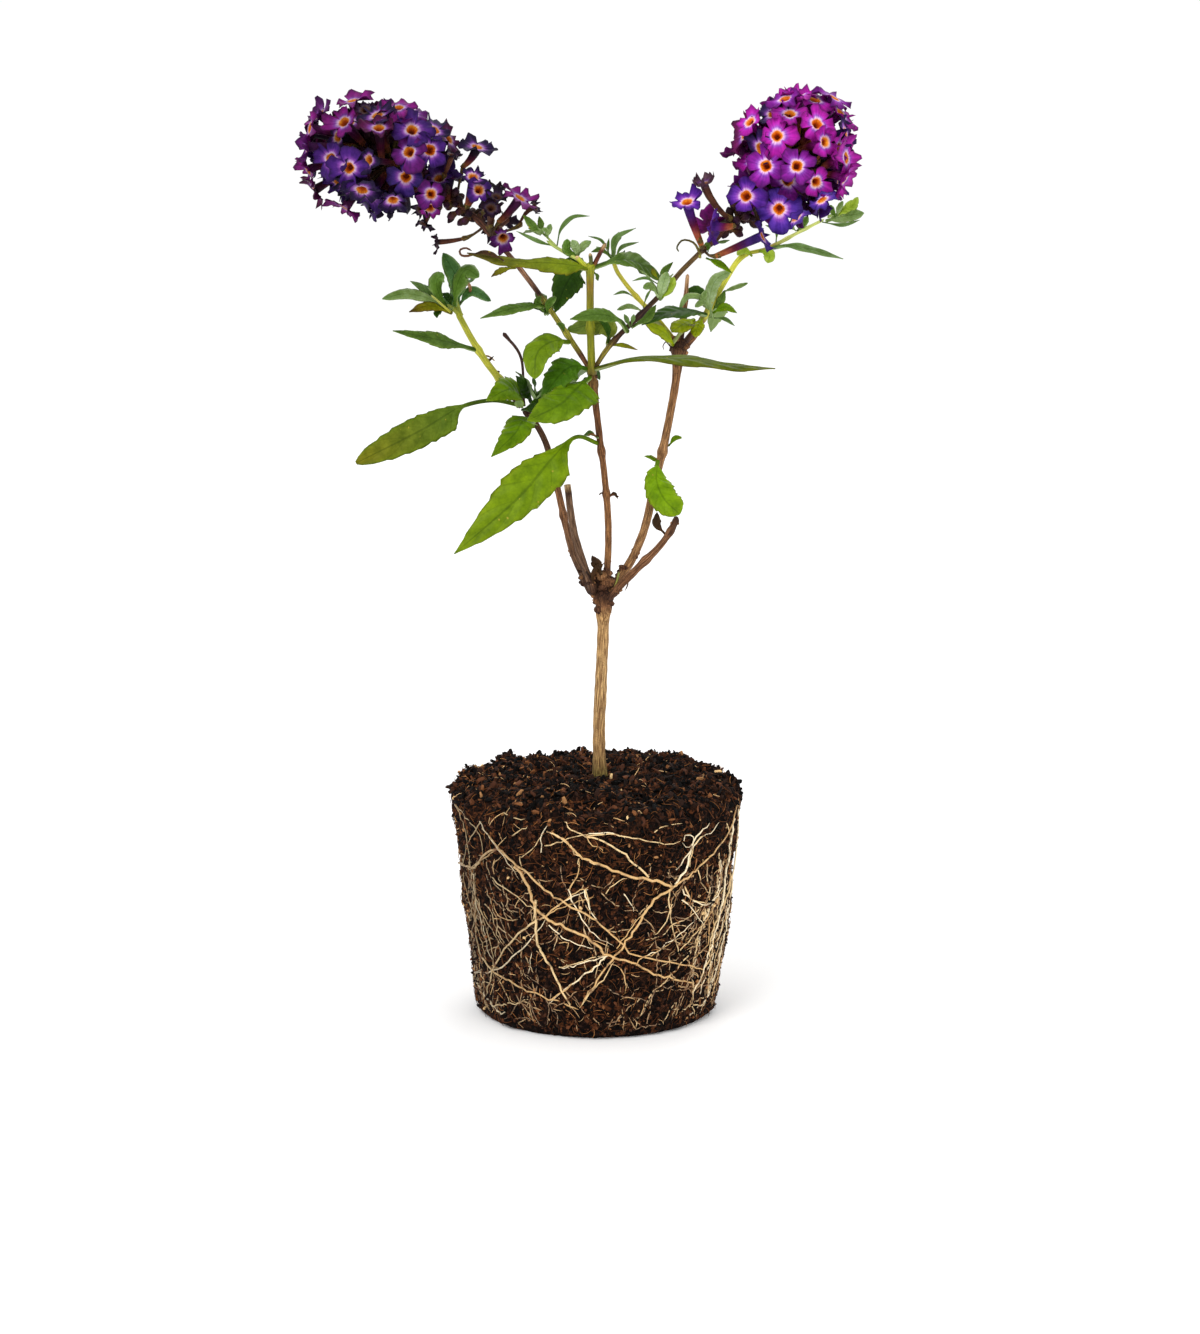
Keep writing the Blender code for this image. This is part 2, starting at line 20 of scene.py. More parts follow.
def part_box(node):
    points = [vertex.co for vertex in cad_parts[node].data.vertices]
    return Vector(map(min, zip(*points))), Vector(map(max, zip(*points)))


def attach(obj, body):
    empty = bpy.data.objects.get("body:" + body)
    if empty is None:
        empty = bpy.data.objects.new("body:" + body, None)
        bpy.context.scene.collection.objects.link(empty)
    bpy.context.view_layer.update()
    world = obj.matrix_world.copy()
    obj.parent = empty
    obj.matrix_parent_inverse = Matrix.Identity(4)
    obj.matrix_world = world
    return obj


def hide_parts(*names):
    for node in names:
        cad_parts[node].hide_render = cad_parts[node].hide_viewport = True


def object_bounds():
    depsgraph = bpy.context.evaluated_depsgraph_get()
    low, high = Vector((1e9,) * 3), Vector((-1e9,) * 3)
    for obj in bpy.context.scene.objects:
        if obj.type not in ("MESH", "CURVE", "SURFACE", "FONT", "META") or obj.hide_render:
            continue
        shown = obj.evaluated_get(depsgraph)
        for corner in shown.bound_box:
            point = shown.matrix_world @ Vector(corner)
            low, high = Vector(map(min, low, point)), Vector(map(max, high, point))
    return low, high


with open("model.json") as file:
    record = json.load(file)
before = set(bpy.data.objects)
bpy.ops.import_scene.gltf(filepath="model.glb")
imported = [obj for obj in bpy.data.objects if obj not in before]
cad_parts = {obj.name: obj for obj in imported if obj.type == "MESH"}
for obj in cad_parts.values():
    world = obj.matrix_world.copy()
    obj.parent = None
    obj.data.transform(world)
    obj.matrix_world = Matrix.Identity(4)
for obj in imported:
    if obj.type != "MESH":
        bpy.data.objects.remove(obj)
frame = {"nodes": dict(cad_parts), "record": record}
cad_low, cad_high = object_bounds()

MM = 0.001
BODY = "root"
print("CAD nodes:", len(frame["nodes"]), "box in mm:", [round(side / MM, 1) for side in cad_high - cad_low])

# %% [markdown]
# The photograph looks along +Y and eleven degrees down, from far off through a long lens, so the plant
# shows almost without perspective. The camera repeats that. A small helper turns a pixel of the
# photograph into a place at a known depth, which is how details too small for the CAD find their place.

# %% Camera
PHOTO_WIDTH, PHOTO_HEIGHT = 1200, 1334
FOCAL_PIXELS = 3820.0
SENSOR_MM = 36.0
CAMERA_PLACE = Vector((0.8, -750.0, 215.94)) * MM
CAMERA_DIP = math.radians(11.0)


def in_scene(name, data):
    """A new object in the scene, made of this mesh, camera or light."""
    obj = bpy.data.objects.new(name, data)
    bpy.context.scene.collection.objects.link(obj)
    return obj


camera_data = bpy.data.cameras.new("camera")
camera_data.sensor_width = SENSOR_MM
camera_data.lens = FOCAL_PIXELS * SENSOR_MM / PHOTO_HEIGHT
camera = in_scene("camera", camera_data)
camera.location = CAMERA_PLACE
camera.rotation_euler = (math.pi / 2 - CAMERA_DIP, 0.0, 0.0)
bpy.context.scene.camera = camera


def sight_line(px, py):
    """Direction from the camera through this pixel of the photograph."""
    ray = Vector((px - PHOTO_WIDTH / 2, FOCAL_PIXELS, PHOTO_HEIGHT / 2 - py))
    return (Matrix.Rotation(-CAMERA_DIP, 3, "X") @ ray).normalized()


def seen_at(px, py, depth):
    """The place that shows at this pixel, depth millimetres behind the middle of the root ball."""
    ray = sight_line(px, py)
    return CAMERA_PLACE + ray * ((depth * MM - CAMERA_PLACE.y) / ray.y)


print("lens in mm:", round(camera_data.lens, 1))

# %% [markdown]
# The light is a white studio: an even white sky, one broad soft light from the upper left front and a
# weaker one from the right. The floor is plain and pale, so that it melts into the sky.

# %% Light and floor
FLOOR_HALF = 30.0
FLOOR_COLOUR, FLOOR_ROUGHNESS = (0.96, 0.96, 0.96), 0.9
SKY_STRENGTH = 1.06
LIGHTS = (
    ("key_light", (-0.45, -0.75, 0.95), 0.55, 5.5),
    ("fill_light", (0.75, -0.55, 0.45), 0.7, 1.4),
    ("back_light", (0.25, 0.8, 0.8), 0.6, 2.0),
)
AIM_HEIGHT = 0.11


def srgb(red, green, blue):
    """A colour given by its eight-bit screen values, as the linear numbers that Blender works with."""
    shares = [channel / 255.0 for channel in (red, green, blue)]
    return tuple(s / 12.92 if s <= 0.04045 else ((s + 0.055) / 1.055) ** 2.4 for s in shares)


bpy.context.scene.view_settings.view_transform = "Standard"
world = bpy.data.worlds.new("white_studio")
world.use_nodes = True
sky = world.node_tree.nodes["Background"]
sky.inputs["Color"].default_value = (1.0, 1.0, 1.0, 1.0)
sky.inputs["Strength"].default_value = SKY_STRENGTH
bpy.context.scene.world = world

for light_name, light_place, light_size, light_power in LIGHTS:
    light_data = bpy.data.lights.new(light_name, "AREA")
    light_data.size = light_size
    light_data.energy = light_power
    light = in_scene(light_name, light_data)
    light.location = light_place
    aim = Vector((0.0, 0.0, AIM_HEIGHT)) - Vector(light_place)
    light.rotation_euler = aim.to_track_quat("-Z", "Y").to_euler()

floor_mesh = bpy.data.meshes.new("floor")
floor_corners = [(x * FLOOR_HALF, y * FLOOR_HALF, 0.0) for x, y in ((-1, -1), (1, -1), (1, 1), (-1, 1))]
floor_mesh.from_pydata(floor_corners, [], [(0, 1, 2, 3)])
floor = in_scene("floor", floor_mesh)
floor_finish = bpy.data.materials.new("floor")
floor_finish.use_nodes = True
floor_shader = floor_finish.node_tree.nodes["Principled BSDF"]
floor_shader.inputs["Base Color"].default_value = (*FLOOR_COLOUR, 1.0)
floor_shader.inputs["Roughness"].default_value = FLOOR_ROUGHNESS
floor_mesh.materials.append(floor_finish)
print("lights:", len(LIGHTS))

# %% [markdown]
# Nearly everything on a plant is a tube or a sheet that follows a curved line. So the tools are a
# smooth line through a few places, a side direction that turns as little as it can along that line, a
# closed tube round it, and a basket that joins many such shapes into one piece with their notes: what
# the finishes read at each point, such as its colour.

# %% Lines, tubes and joined pieces
TOO_PARALLEL = 0.9


def resampled(rows, count):
    """The rows at even steps along a smooth curve through all of them (Catmull-Rom)."""
    rows = np.asarray(rows, float)
    ends = np.vstack([2 * rows[0] - rows[1], rows, 2 * rows[-1] - rows[-2]])
    along = np.linspace(0.0, len(rows) - 1.0, count)
    first = np.minimum(along.astype(int), len(rows) - 2)
    t = (along - first)[:, None]
    before, start, end, after = ends[first], ends[first + 1], ends[first + 2], ends[first + 3]
    bend = (end - before) * t + (2 * before - 5 * start + 4 * end - after) * t ** 2
    return 0.5 * (2 * start + bend + (3 * start - before - 3 * end + after) * t ** 3)


def unit(vectors):
    """The vectors at length one."""
    return vectors / np.maximum(np.linalg.norm(vectors, axis=-1, keepdims=True), 1e-12)


def sides_along(path):
    """Side and lift at each point of a path, turned as little as possible between points."""
    ahead = unit(np.gradient(path, axis=0))
    side = np.zeros_like(ahead)
    guess = np.array((1.0, 0.0, 0.0))
    if abs(guess @ ahead[0]) > TOO_PARALLEL:
        guess = np.array((0.0, 1.0, 0.0))
    for index, forward in enumerate(ahead):
        guess = guess - forward * (guess @ forward)
        guess = guess / np.linalg.norm(guess)
        side[index] = guess
    return side, np.cross(ahead, side)


def length_along(path):
    """Distance from the start of the path to each of its points."""
    return np.concatenate([[0.0], np.cumsum(np.linalg.norm(np.diff(path, axis=0), axis=1))])


def tube_faces(rings, sides):
    """Faces of a closed tube whose points are rings of this many sides, one ring after another."""
    faces = []
    for ring in range(rings - 1):
        low, high = ring * sides, (ring + 1) * sides
        for side in range(sides):
            other = (side + 1) % sides
            faces.append((low + side, low + other, high + other, high + side))
    faces.append(tuple(range(sides))[::-1])
    faces.append(tuple(range((rings - 1) * sides, rings * sides)))
    return faces


def tube(path, radii, sides):
    """Points and faces of a closed tube along a path. radii is one number a ring, or one a point."""
    path = np.asarray(path, float)
    side, lift = sides_along(path)
    turn = np.linspace(0.0, math.tau, sides, endpoint=False)
    round_it = side[:, None] * np.cos(turn)[None, :, None] + lift[:, None] * np.sin(turn)[None, :, None]
    reach = np.broadcast_to(np.reshape(radii, (len(path), -1)), (len(path), sides))
    return (path[:, None] + round_it * reach[:, :, None]).reshape(-1, 3), tube_faces(len(path), sides)


class Basket:
    """Collects the points, faces and colours of many small shapes that become one piece."""

    def __init__(self, name):
        self.name = name
        self.points = []
        self.faces = []
        self.finishes = []
        self.notes = defaultdict(list)
        self.count = 0

    def add(self, points, faces, finish=0, **notes):
        """One shape. finish is one material number or one for each face; a note has one row a point."""
        points = np.asarray(points, float).reshape(-1, 3)
        self.points.append(points)
        self.faces.extend([tuple(corner + self.count for corner in face) for face in faces])
        self.finishes.extend([finish] * len(faces) if isinstance(finish, int) else finish)
        for key, rows in notes.items():
            rows = np.asarray(rows, float)
            self.notes[key].append(np.broadcast_to(rows, (len(points), rows.shape[-1])))
        self.count += len(points)

    def piece(self, *materials):
        """The joined piece as an object, with its notes as attributes."""
        mesh = bpy.data.meshes.new(self.name)
        mesh.from_pydata(np.vstack(self.points).tolist(), [], self.faces)
        for material in materials:
            mesh.materials.append(material)
        mesh.polygons.foreach_set("material_index", self.finishes)
        for key, rows in self.notes.items():
            values = np.vstack(rows)
            kind, field = {1: ("FLOAT", "value"), 3: ("FLOAT_VECTOR", "vector")}[values.shape[1]]
            mesh.attributes.new(key, kind, "POINT").data.foreach_set(field, values.ravel())
        mesh.polygons.foreach_set("use_smooth", [True] * len(mesh.polygons))
        mesh.update()
        return in_scene(self.name, mesh)


def hand_over(obj, slot, *nodes):
    """Puts a finished piece on the plant's body, over the floor, in place of the CAD nodes it stands for."""
    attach(obj, BODY)
    if nodes:
        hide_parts(*nodes)
    places = np.empty(3 * len(obj.data.vertices))
    obj.data.vertices.foreach_get("co", places)
    places[2::3] = np.maximum(places[2::3], 0.0)
    obj.data.vertices.foreach_set("co", places)
    print(obj.name, "triangles:", sum(len(face.vertices) - 2 for face in obj.data.polygons))


# %% [markdown]
# Each CAD stem is cut across at even steps. The middle of every cut gives the line that the stem
# follows and the cut's spread gives its radius, so the bark can be grown exactly where the solid is.

# %% Measuring the CAD stems
WELD = 0.002 * MM
CUTS = 11
CUT_MARGIN = 0.03


def merged_copy(name):
    """A CAD node's mesh as a bmesh of its own, with its loose triangles joined."""
    work = bmesh.new()
    work.from_mesh(frame["nodes"][name].data)
    bmesh.ops.remove_doubles(work, verts=work.verts, dist=WELD)
    return work


def search_tree(name):
    """A search tree over the faces of a CAD node."""
    work = merged_copy(name)
    tree = BVHTree.FromBMesh(work)
    work.free()
    return tree


def measured(name):
    """Rows of middle (3) and radius of a CAD stem at even cuts, from its lowest end to its tip."""
    work = merged_copy(name)
    spots = [vertex.co.copy() for vertex in work.verts]
    foot = min(spots, key=lambda spot: spot.z)
    tip = max(spots, key=lambda spot: (spot - foot).length)
    main = (tip - foot).normalized()
    middles, rings = [], []
    for share in np.linspace(CUT_MARGIN, 1.0 - CUT_MARGIN, CUTS):
        geometry = [*work.verts, *work.edges, *work.faces]
        spot = foot.lerp(tip, share)
        cut = bmesh.ops.bisect_plane(work, geom=geometry, plane_co=spot, plane_no=main)["geom_cut"]
        edges = [part for part in cut if isinstance(part, bmesh.types.BMEdge)]
        ends = np.array([[vertex.co for vertex in edge.verts] for edge in edges])
        weight = np.linalg.norm(ends[:, 0] - ends[:, 1], axis=1)
        middles.append((ends.mean(1) * weight[:, None]).sum(0) / weight.sum())
        rings.append(ends.reshape(-1, 3) - middles[-1])
    work.free()
    ahead = unit(np.gradient(np.array(middles), axis=0))
    radii = [np.linalg.norm(np.cross(ring, forward), axis=1).mean() for ring, forward in zip(rings, ahead)]
    return np.column_stack([middles, radii])


def lengthened(rows, at_foot, at_tip):
    """The rows with their first and last middles moved on, to reach what they grow from or end in."""
    longer = rows.copy()
    longer[0, :3] += unit(rows[0, :3] - rows[1, :3]) * at_foot
    longer[-1, :3] += unit(rows[-1, :3] - rows[-2, :3]) * at_tip
    return longer


# %% [markdown]
# Every finish here is built from nodes, and they all need the same few steps: add a node, set its
# numbers, and link it. These helpers keep the finishes below short enough to read. A finish reads the
# place of a point on the object, or a note that the mesh carries, and never the camera.

# %% Node helpers


def socket_named(sockets, name):
    """The socket of this name that the node uses in its present mode, or the one at this index."""
    if isinstance(name, int):
        return sockets[name]
    return next(socket for socket in sockets if socket.name == name and socket.enabled)


def add_node(tree, kind, inputs=None, **settings):
    """A node with its settings, whose inputs are numbers or links from other sockets."""
    node = tree.nodes.new(kind)
    for key, value in settings.items():
        setattr(node, key, value)
    for name, value in (inputs or {}).items():
        socket = socket_named(node.inputs, name)
        if isinstance(value, bpy.types.NodeSocket):
            tree.links.new(value, socket)
        else:
            socket.default_value = value
    return node


def new_finish(name, roughness):
    """A material with its node tree and its Principled shader."""
    material = bpy.data.materials.new(name)
    material.use_nodes = True
    shader = material.node_tree.nodes["Principled BSDF"]
    shader.inputs["Roughness"].default_value = roughness
    return material, material.node_tree, shader


def arithmetic(tree, operation, *values):
    """One step of arithmetic on numbers or on links from other sockets."""
    return add_node(tree, "ShaderNodeMath", dict(enumerate(values)), operation=operation).outputs["Value"]


def noise_of(tree, vector, size, detail=3.0):
    """Smooth noise from 0 to 1 whose patches are about this many metres across."""
    made = add_node(tree, "ShaderNodeTexNoise", {"Vector": vector, "Scale": 1.0 / size, "Detail": detail})
    return made.outputs["Fac"]


def ramp_of(tree, factor, stops, smooth=True):
    """Colours dealt out along a factor. stops are (position, sRGB colour)."""
    ramp = add_node(tree, "ShaderNodeValToRGB", {"Fac": factor})
    ramp.color_ramp.interpolation = "LINEAR" if smooth else "CONSTANT"
    elements = ramp.color_ramp.elements
    while len(elements) < len(stops):
        elements.new(1.0)
    for element, (position, colour) in zip(elements, stops):
        element.position = position
        element.color = (*srgb(*colour), 1.0)
    return ramp.outputs["Color"]


def mixed(tree, factor, first, second, mode="MIX"):
    """Two colours, each a link or three linear numbers, mixed by a factor."""
    first, second = [(*colour, 1.0) if isinstance(colour, tuple) else colour for colour in (first, second)]
    node = add_node(tree, "ShaderNodeMix", {"Factor": factor, "A": first, "B": second}, data_type="RGBA",
                    blend_type=mode)
    return socket_named(node.outputs, "Result")


def stretched(tree, factor, low, high):
    """A factor whose low to high becomes 0 to 1."""
    node = add_node(tree, "ShaderNodeMapRange", {"Value": factor, "From Min": low, "From Max": high})
    return node.outputs["Result"]


def dress(tree, shader, colour, gloss, height, distance, strength=1.0):
    """Gives the shader its colour, its gloss and a bump of this height in metres."""
    tree.links.new(colour, shader.inputs["Base Color"])
    shader.inputs["Specular IOR Level"].default_value = gloss
    bump = add_node(tree, "ShaderNodeBump", {"Height": height, "Distance": distance, "Strength": strength})
    tree.links.new(bump.outputs["Normal"], shader.inputs["Normal"])


def note(tree, name, kind="Color"):
    """A note that the mesh carries, read as a colour, a vector or a plain factor."""
    return add_node(tree, "ShaderNodeAttribute", attribute_name=name).outputs[kind]


def object_place(tree):
    """Where the surface point is, in metres."""
    return add_node(tree, "ShaderNodeTexCoord").outputs["Object"]


# %% [markdown]
# The root ball is compost pressed into the shape of its pot. Its base is the CAD solid, remeshed into
# small even faces and then pushed in and out by noise: broad clods on top, and fine crumbs all over
# from a pattern of cells. The underside stays flat, because the plant stands on it.

# %% Compost body
COMPOST_CELL = 0.55 * MM
CLOD_SIZE, CLOD_HEIGHT = 4.0 * MM, 2.0 * MM
CRUMB_SIZE, CRUMB_HEIGHT = 1.5 * MM, 0.75 * MM
GRIT_SIZE, GRIT_HEIGHT = 0.7 * MM, 0.28 * MM
FLAT_FOOT = 1.2 * MM
RIM_FROM = 5.0 * MM
RIM_RISE = 0.8 * MM


def compost_shift(place, outward, top):
    """How far the compost stands in or out at a place, in metres."""
    clod = noise.noise(place / CLOD_SIZE)
    near = noise.voronoi(place / CRUMB_SIZE)[0][0]
    grit = noise.noise(place / GRIT_SIZE)
    loose = max(0.0, outward.z)
    rim = max(0.0, 1.0 - (top - place.z) / RIM_FROM)
    shift = clod * CLOD_HEIGHT * (0.25 + 0.75 * loose) + (0.45 - near) * CRUMB_HEIGHT * (0.55 + 0.6 * rim)
    return shift + grit * GRIT_HEIGHT + RIM_RISE * rim * loose


ball_low, ball_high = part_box("root_ball")
compost_work = merged_copy("root_ball")
compost_mesh = bpy.data.meshes.new("compost_body")
compost_work.to_mesh(compost_mesh)
compost_work.free()
compost = in_scene("compost_body", compost_mesh)
even = compost.modifiers.new("even_faces", "REMESH")
even.mode = "VOXEL"
even.voxel_size = COMPOST_CELL
compost.data = bpy.data.meshes.new_from_object(compost.evaluated_get(bpy.context.evaluated_depsgraph_get()))
compost.modifiers.clear()

for vertex, outward in zip(compost.data.vertices, [v.normal.copy() for v in compost.data.vertices]):
    place = vertex.co.copy()
    hold = min(1.0, max(0.0, place.z / FLAT_FOOT))
    shift = compost_shift(place, outward, ball_high.z) * hold
    vertex.co = place + outward * shift
    vertex.co.z = max(0.0, vertex.co.z)
compost.data.update()
heights = np.array([vertex.co.z for vertex in compost.data.vertices])
loose_shares = np.clip(1.0 - (ball_high.z - heights) / RIM_FROM, 0.0, 1.0)
pressed_shares = (1.0 - loose_shares) * (heights > FLAT_FOOT)
for share_name, shares in (("loose", loose_shares), ("pressed", pressed_shares)):
    compost.data.attributes.new(share_name, "FLOAT", "POINT").data.foreach_set("value", shares)
compost_tree = BVHTree.FromPolygons(
    [vertex.co for vertex in compost.data.vertices],
    [tuple(face.vertices) for face in compost.data.polygons])
print("compost faces:", len(compost.data.polygons))

# %% [markdown]
# Compost is never one brown. Each crumb has its own colour, from nearly black peat to rusty bark, so
# the finish deals colours out by cells and paints shade into the hollows between them with a second, finer
# noise.

# %% Compost finish
PEAT = ((10, 6, 5), (30, 16, 11), (56, 32, 20), (16, 9, 7), (88, 50, 28), (36, 21, 14))
COMPOST_GRAIN = 0.9 * MM


def compost_finish():
    """Matte dark compost whose colour changes from crumb to crumb, with painted shade in its hollows."""
    material, tree, shader = new_finish("compost", 0.92)
    place = object_place(tree)
    cells = add_node(tree, "ShaderNodeTexVoronoi", {"Vector": place, "Scale": 1.0 / COMPOST_GRAIN})
    pick = add_node(tree, "ShaderNodeSeparateColor", {"Color": cells.outputs["Color"]}).outputs["Red"]
    stops = [(index / len(PEAT), colour) for index, colour in enumerate(PEAT)]
    crumbs = ramp_of(tree, pick, stops, smooth=False)
    fine = noise_of(tree, place, 0.35 * MM)
    # Painted shade: near black where the fine noise is low, which is where its bump makes hollows.
    dark = mixed(tree, stretched(tree, fine, 0.35, 0.6), srgb(10, 6, 5), crumbs)
    dress(tree, shader, dark, 0.06, fine, 0.25 * MM)
    return material


compost.data.materials.append(compost_finish())
compost.data.polygons.foreach_set("use_smooth", [True] * len(compost.data.polygons))
hand_over(compost, "compost", "root_ball")

# %% [markdown]
# Loose crumbs, bark chips and fibres lie on the compost. They repeat by the thousand, so Geometry Nodes
# scatter them: points spread evenly over the surface, one of a few little shapes on each, turned and
# sized at random from a fixed seed, and the whole made real at the end.

# %% Scattering with Geometry Nodes
SCATTER_INPUTS = (
    ("Shapes", "NodeSocketCollection", None),
    ("Spacing", "NodeSocketFloat", 1.0 * MM),
    ("Density", "NodeSocketFloat", 1.0e6),
    ("Smallest", "NodeSocketFloat", 0.5),
    ("Largest", "NodeSocketFloat", 1.0),
    ("Tumble", "NodeSocketFloat", math.pi),
    ("Share Name", "NodeSocketString", "loose"),
    ("Seed", "NodeSocketInt", 1),
    ("Finish", "NodeSocketMaterial", None),
)
HIGHEST_PICK, TONE_SEED = 1000, 7


def random_value(tree, kind, low, high, seed):
    """A random number, whole number or vector for each point."""
    node = add_node(tree, "FunctionNodeRandomValue", {"Min": low, "Max": high, "Seed": seed}, data_type=kind)
    return socket_named(node.outputs, "Value")


def scatter_tree():
    """The node tree that scatters shapes over a surface, with its sizes as named inputs."""
    tree = bpy.data.node_groups.new("scatter", "GeometryNodeTree")
    tree.interface.new_socket("Geometry", in_out="INPUT", socket_type="NodeSocketGeometry")
    tree.interface.new_socket("Geometry", in_out="OUTPUT", socket_type="NodeSocketGeometry")
    for label, kind, value in SCATTER_INPUTS:
        socket = tree.interface.new_socket(label, in_out="INPUT", socket_type=kind)
        if value is not None:
            socket.default_value = value
    given = add_node(tree, "NodeGroupInput").outputs
    share = add_node(tree, "GeometryNodeInputNamedAttribute", {"Name": given["Share Name"]},
                     data_type="FLOAT")
    spread = add_node(tree, "GeometryNodeDistributePointsOnFaces", {
        "Mesh": given["Geometry"], "Distance Min": given["Spacing"], "Density Max": given["Density"],
        "Density Factor": socket_named(share.outputs, "Attribute"), "Seed": given["Seed"],
    }, distribute_method="POISSON")
    shapes = add_node(tree, "GeometryNodeCollectionInfo", {
        "Collection": given["Shapes"], "Separate Children": True, "Reset Children": True})
    size = random_value(tree, "FLOAT", given["Smallest"], given["Largest"], given["Seed"])
    tumble = add_node(tree, "ShaderNodeCombineXYZ", {
        "X": given["Tumble"], "Y": given["Tumble"], "Z": math.tau}).outputs["Vector"]
    turn = random_value(tree, "FLOAT_VECTOR", (0.0, 0.0, 0.0), tumble, given["Seed"])
    turned = add_node(tree, "FunctionNodeRotateRotation", {
        "Rotation": spread.outputs["Rotation"], "Rotate By": turn}, rotation_space="LOCAL")
    placed = add_node(tree, "GeometryNodeInstanceOnPoints", {
        "Points": spread.outputs["Points"], "Instance": shapes.outputs["Instances"], "Pick Instance": True,
        "Instance Index": random_value(tree, "INT", 0, HIGHEST_PICK, given["Seed"]),
        "Rotation": turned.outputs["Rotation"], "Scale": size,
    })
    toned = add_node(tree, "GeometryNodeStoreNamedAttribute", {
        "Geometry": placed.outputs["Instances"], "Name": "tone",
        "Value": random_value(tree, "FLOAT", 0.0, 1.0, TONE_SEED),
    }, data_type="FLOAT", domain="INSTANCE")
    real = add_node(tree, "GeometryNodeRealizeInstances", {"Geometry": toned.outputs["Geometry"]})
    finished = add_node(tree, "GeometryNodeSetMaterial", {
        "Geometry": real.outputs["Geometry"], "Material": given["Finish"]})
    out = add_node(tree, "NodeGroupOutput")
    tree.links.new(finished.outputs["Geometry"], out.inputs["Geometry"])
    return tree


SCATTER = scatter_tree()


def hidden_collection(name, meshes):
    """A collection of loose shapes that is in no scene, for the node tree to pick from."""
    collection = bpy.data.collections.new(name)
    for mesh in meshes:
        collection.objects.link(bpy.data.objects.new(mesh.name, mesh))
    return collection


def strew(name, values, smooth):
    """Scatters shapes over the compost, makes them one plain mesh and hands it over."""
    obj = in_scene(name, compost.data.copy())
    modifier = obj.modifiers.new(name, "NODES")
    modifier.node_group = SCATTER
    for socket in SCATTER.interface.items_tree:
        if socket.name in values:
            modifier[socket.identifier] = values[socket.name]
    graph = bpy.context.evaluated_depsgraph_get()
    obj.data = bpy.data.meshes.new_from_object(obj.evaluated_get(graph))
    obj.modifiers.clear()
    obj.data.polygons.foreach_set("use_smooth", [smooth] * len(obj.data.polygons))
    hand_over(obj, "compost")


# %% [markdown]
# A crumb is a ball of few faces, squashed and dented by noise. A chip is the same, but flatter. Their
# colour comes from the tone that the node tree dealt to each: most are dark, some rusty, a few pale.

# %% Crumbs
CRUMB_KINDS = 6
DENT, DENTS_ACROSS, NEXT_LUMP = 0.55, 1.7, 3.1
LUMP_LONG, LUMP_NARROW = 1.25, 0.65
CHIP_FLATNESS, GRAIN_FLATNESS = 0.34, 0.8
CRUMB_TONES = (
    (0.0, (5, 3, 3)), (0.2, (50, 30, 20)), (0.32, (8, 5, 4)), (0.5, (84, 50, 33)), (0.6, (14, 8, 6)),
    (0.73, (112, 68, 42)), (0.8, (28, 17, 12)), (0.89, (142, 92, 54)), (0.925, (50, 32, 24)),
    (0.97, (190, 142, 92)), (0.992, (240, 214, 170)),
)
SPECK_GRAIN = ((0.3, (8, 5, 4)), (0.7, (120, 84, 56)))


def crumb_mesh(name, seed, flatness, cuts):
    """One dented lump about a metre across, to be sized by the scatter."""
    work = bmesh.new()
    bmesh.ops.create_icosphere(work, subdivisions=cuts, radius=0.5)
    for vertex in work.verts:
        spot = vertex.co
        dent = 1.0 + DENT * noise.noise(spot * DENTS_ACROSS + Vector((seed * NEXT_LUMP, 0.0, 0.0)))
        vertex.co = Vector(
            (spot.x * dent * LUMP_LONG, spot.y * dent * LUMP_NARROW, spot.z * dent * flatness))
    mesh = bpy.data.meshes.new(name)
    work.to_mesh(mesh)
    work.free()
    return mesh


def speck_finish(name, stops):
    """A matte finish whose colour follows the tone that each scattered shape was dealt."""
    material, tree, shader = new_finish(name, 0.8)
    grain = noise_of(tree, object_place(tree), 0.3 * MM)
    dealt = ramp_of(tree, note(tree, "tone", "Fac"), stops, smooth=False)
    colour = mixed(tree, 0.35, dealt, ramp_of(tree, grain, SPECK_GRAIN), "OVERLAY")
    dress(tree, shader, colour, 0.12, grain, 0.1 * MM)
    return material


crumb_finish = speck_finish("crumbs", CRUMB_TONES)
chips = hidden_collection("chips", [
    crumb_mesh(f"chip_{n}", n, CHIP_FLATNESS, 1) for n in range(CRUMB_KINDS)])
grains = hidden_collection("grains", [
    crumb_mesh(f"grain_{n}", n + 9, GRAIN_FLATNESS, 1) for n in range(CRUMB_KINDS)])
strew("top_crumbs", {
    "Shapes": chips, "Spacing": 0.72 * MM, "Density": 3.0e6, "Smallest": 0.4 * MM, "Largest": 2.1 * MM,
    "Seed": 3, "Finish": crumb_finish,
}, smooth=False)
strew("side_crumbs", {
    "Shapes": grains, "Spacing": 0.74 * MM, "Density": 2.9e6, "Smallest": 0.3 * MM, "Largest": 1.05 * MM,
    "Share Name": "pressed", "Seed": 5, "Finish": crumb_finish,
}, smooth=False)

# %% [markdown]
# Peat is full of short fibres. Each is a thin bent thread that lies flat on the surface, so the scatter
# only spins it about the surface's own direction and barely tips it.

# %% Fibres
FIBRE_KINDS = 7
FIBRE_LENGTH = 4.2
FIBRE_RADIUS = 0.075
FIBRE_BEND, FIBRE_SWAY, FIBRE_SHARES = 0.9, 0.5, (0.5, 1.1)
FIBRE_RINGS, FIBRE_TAPER, ARCH_TOP, ARCH_DROP = 6, 1.2, 0.35, 1.4
FIBRE_TONES = (
    (0.0, (70, 42, 24)), (0.3, (118, 72, 38)), (0.55, (90, 52, 28)), (0.75, (150, 98, 52)),
    (0.86, (200, 148, 90)), (0.94, (240, 210, 164)),
)


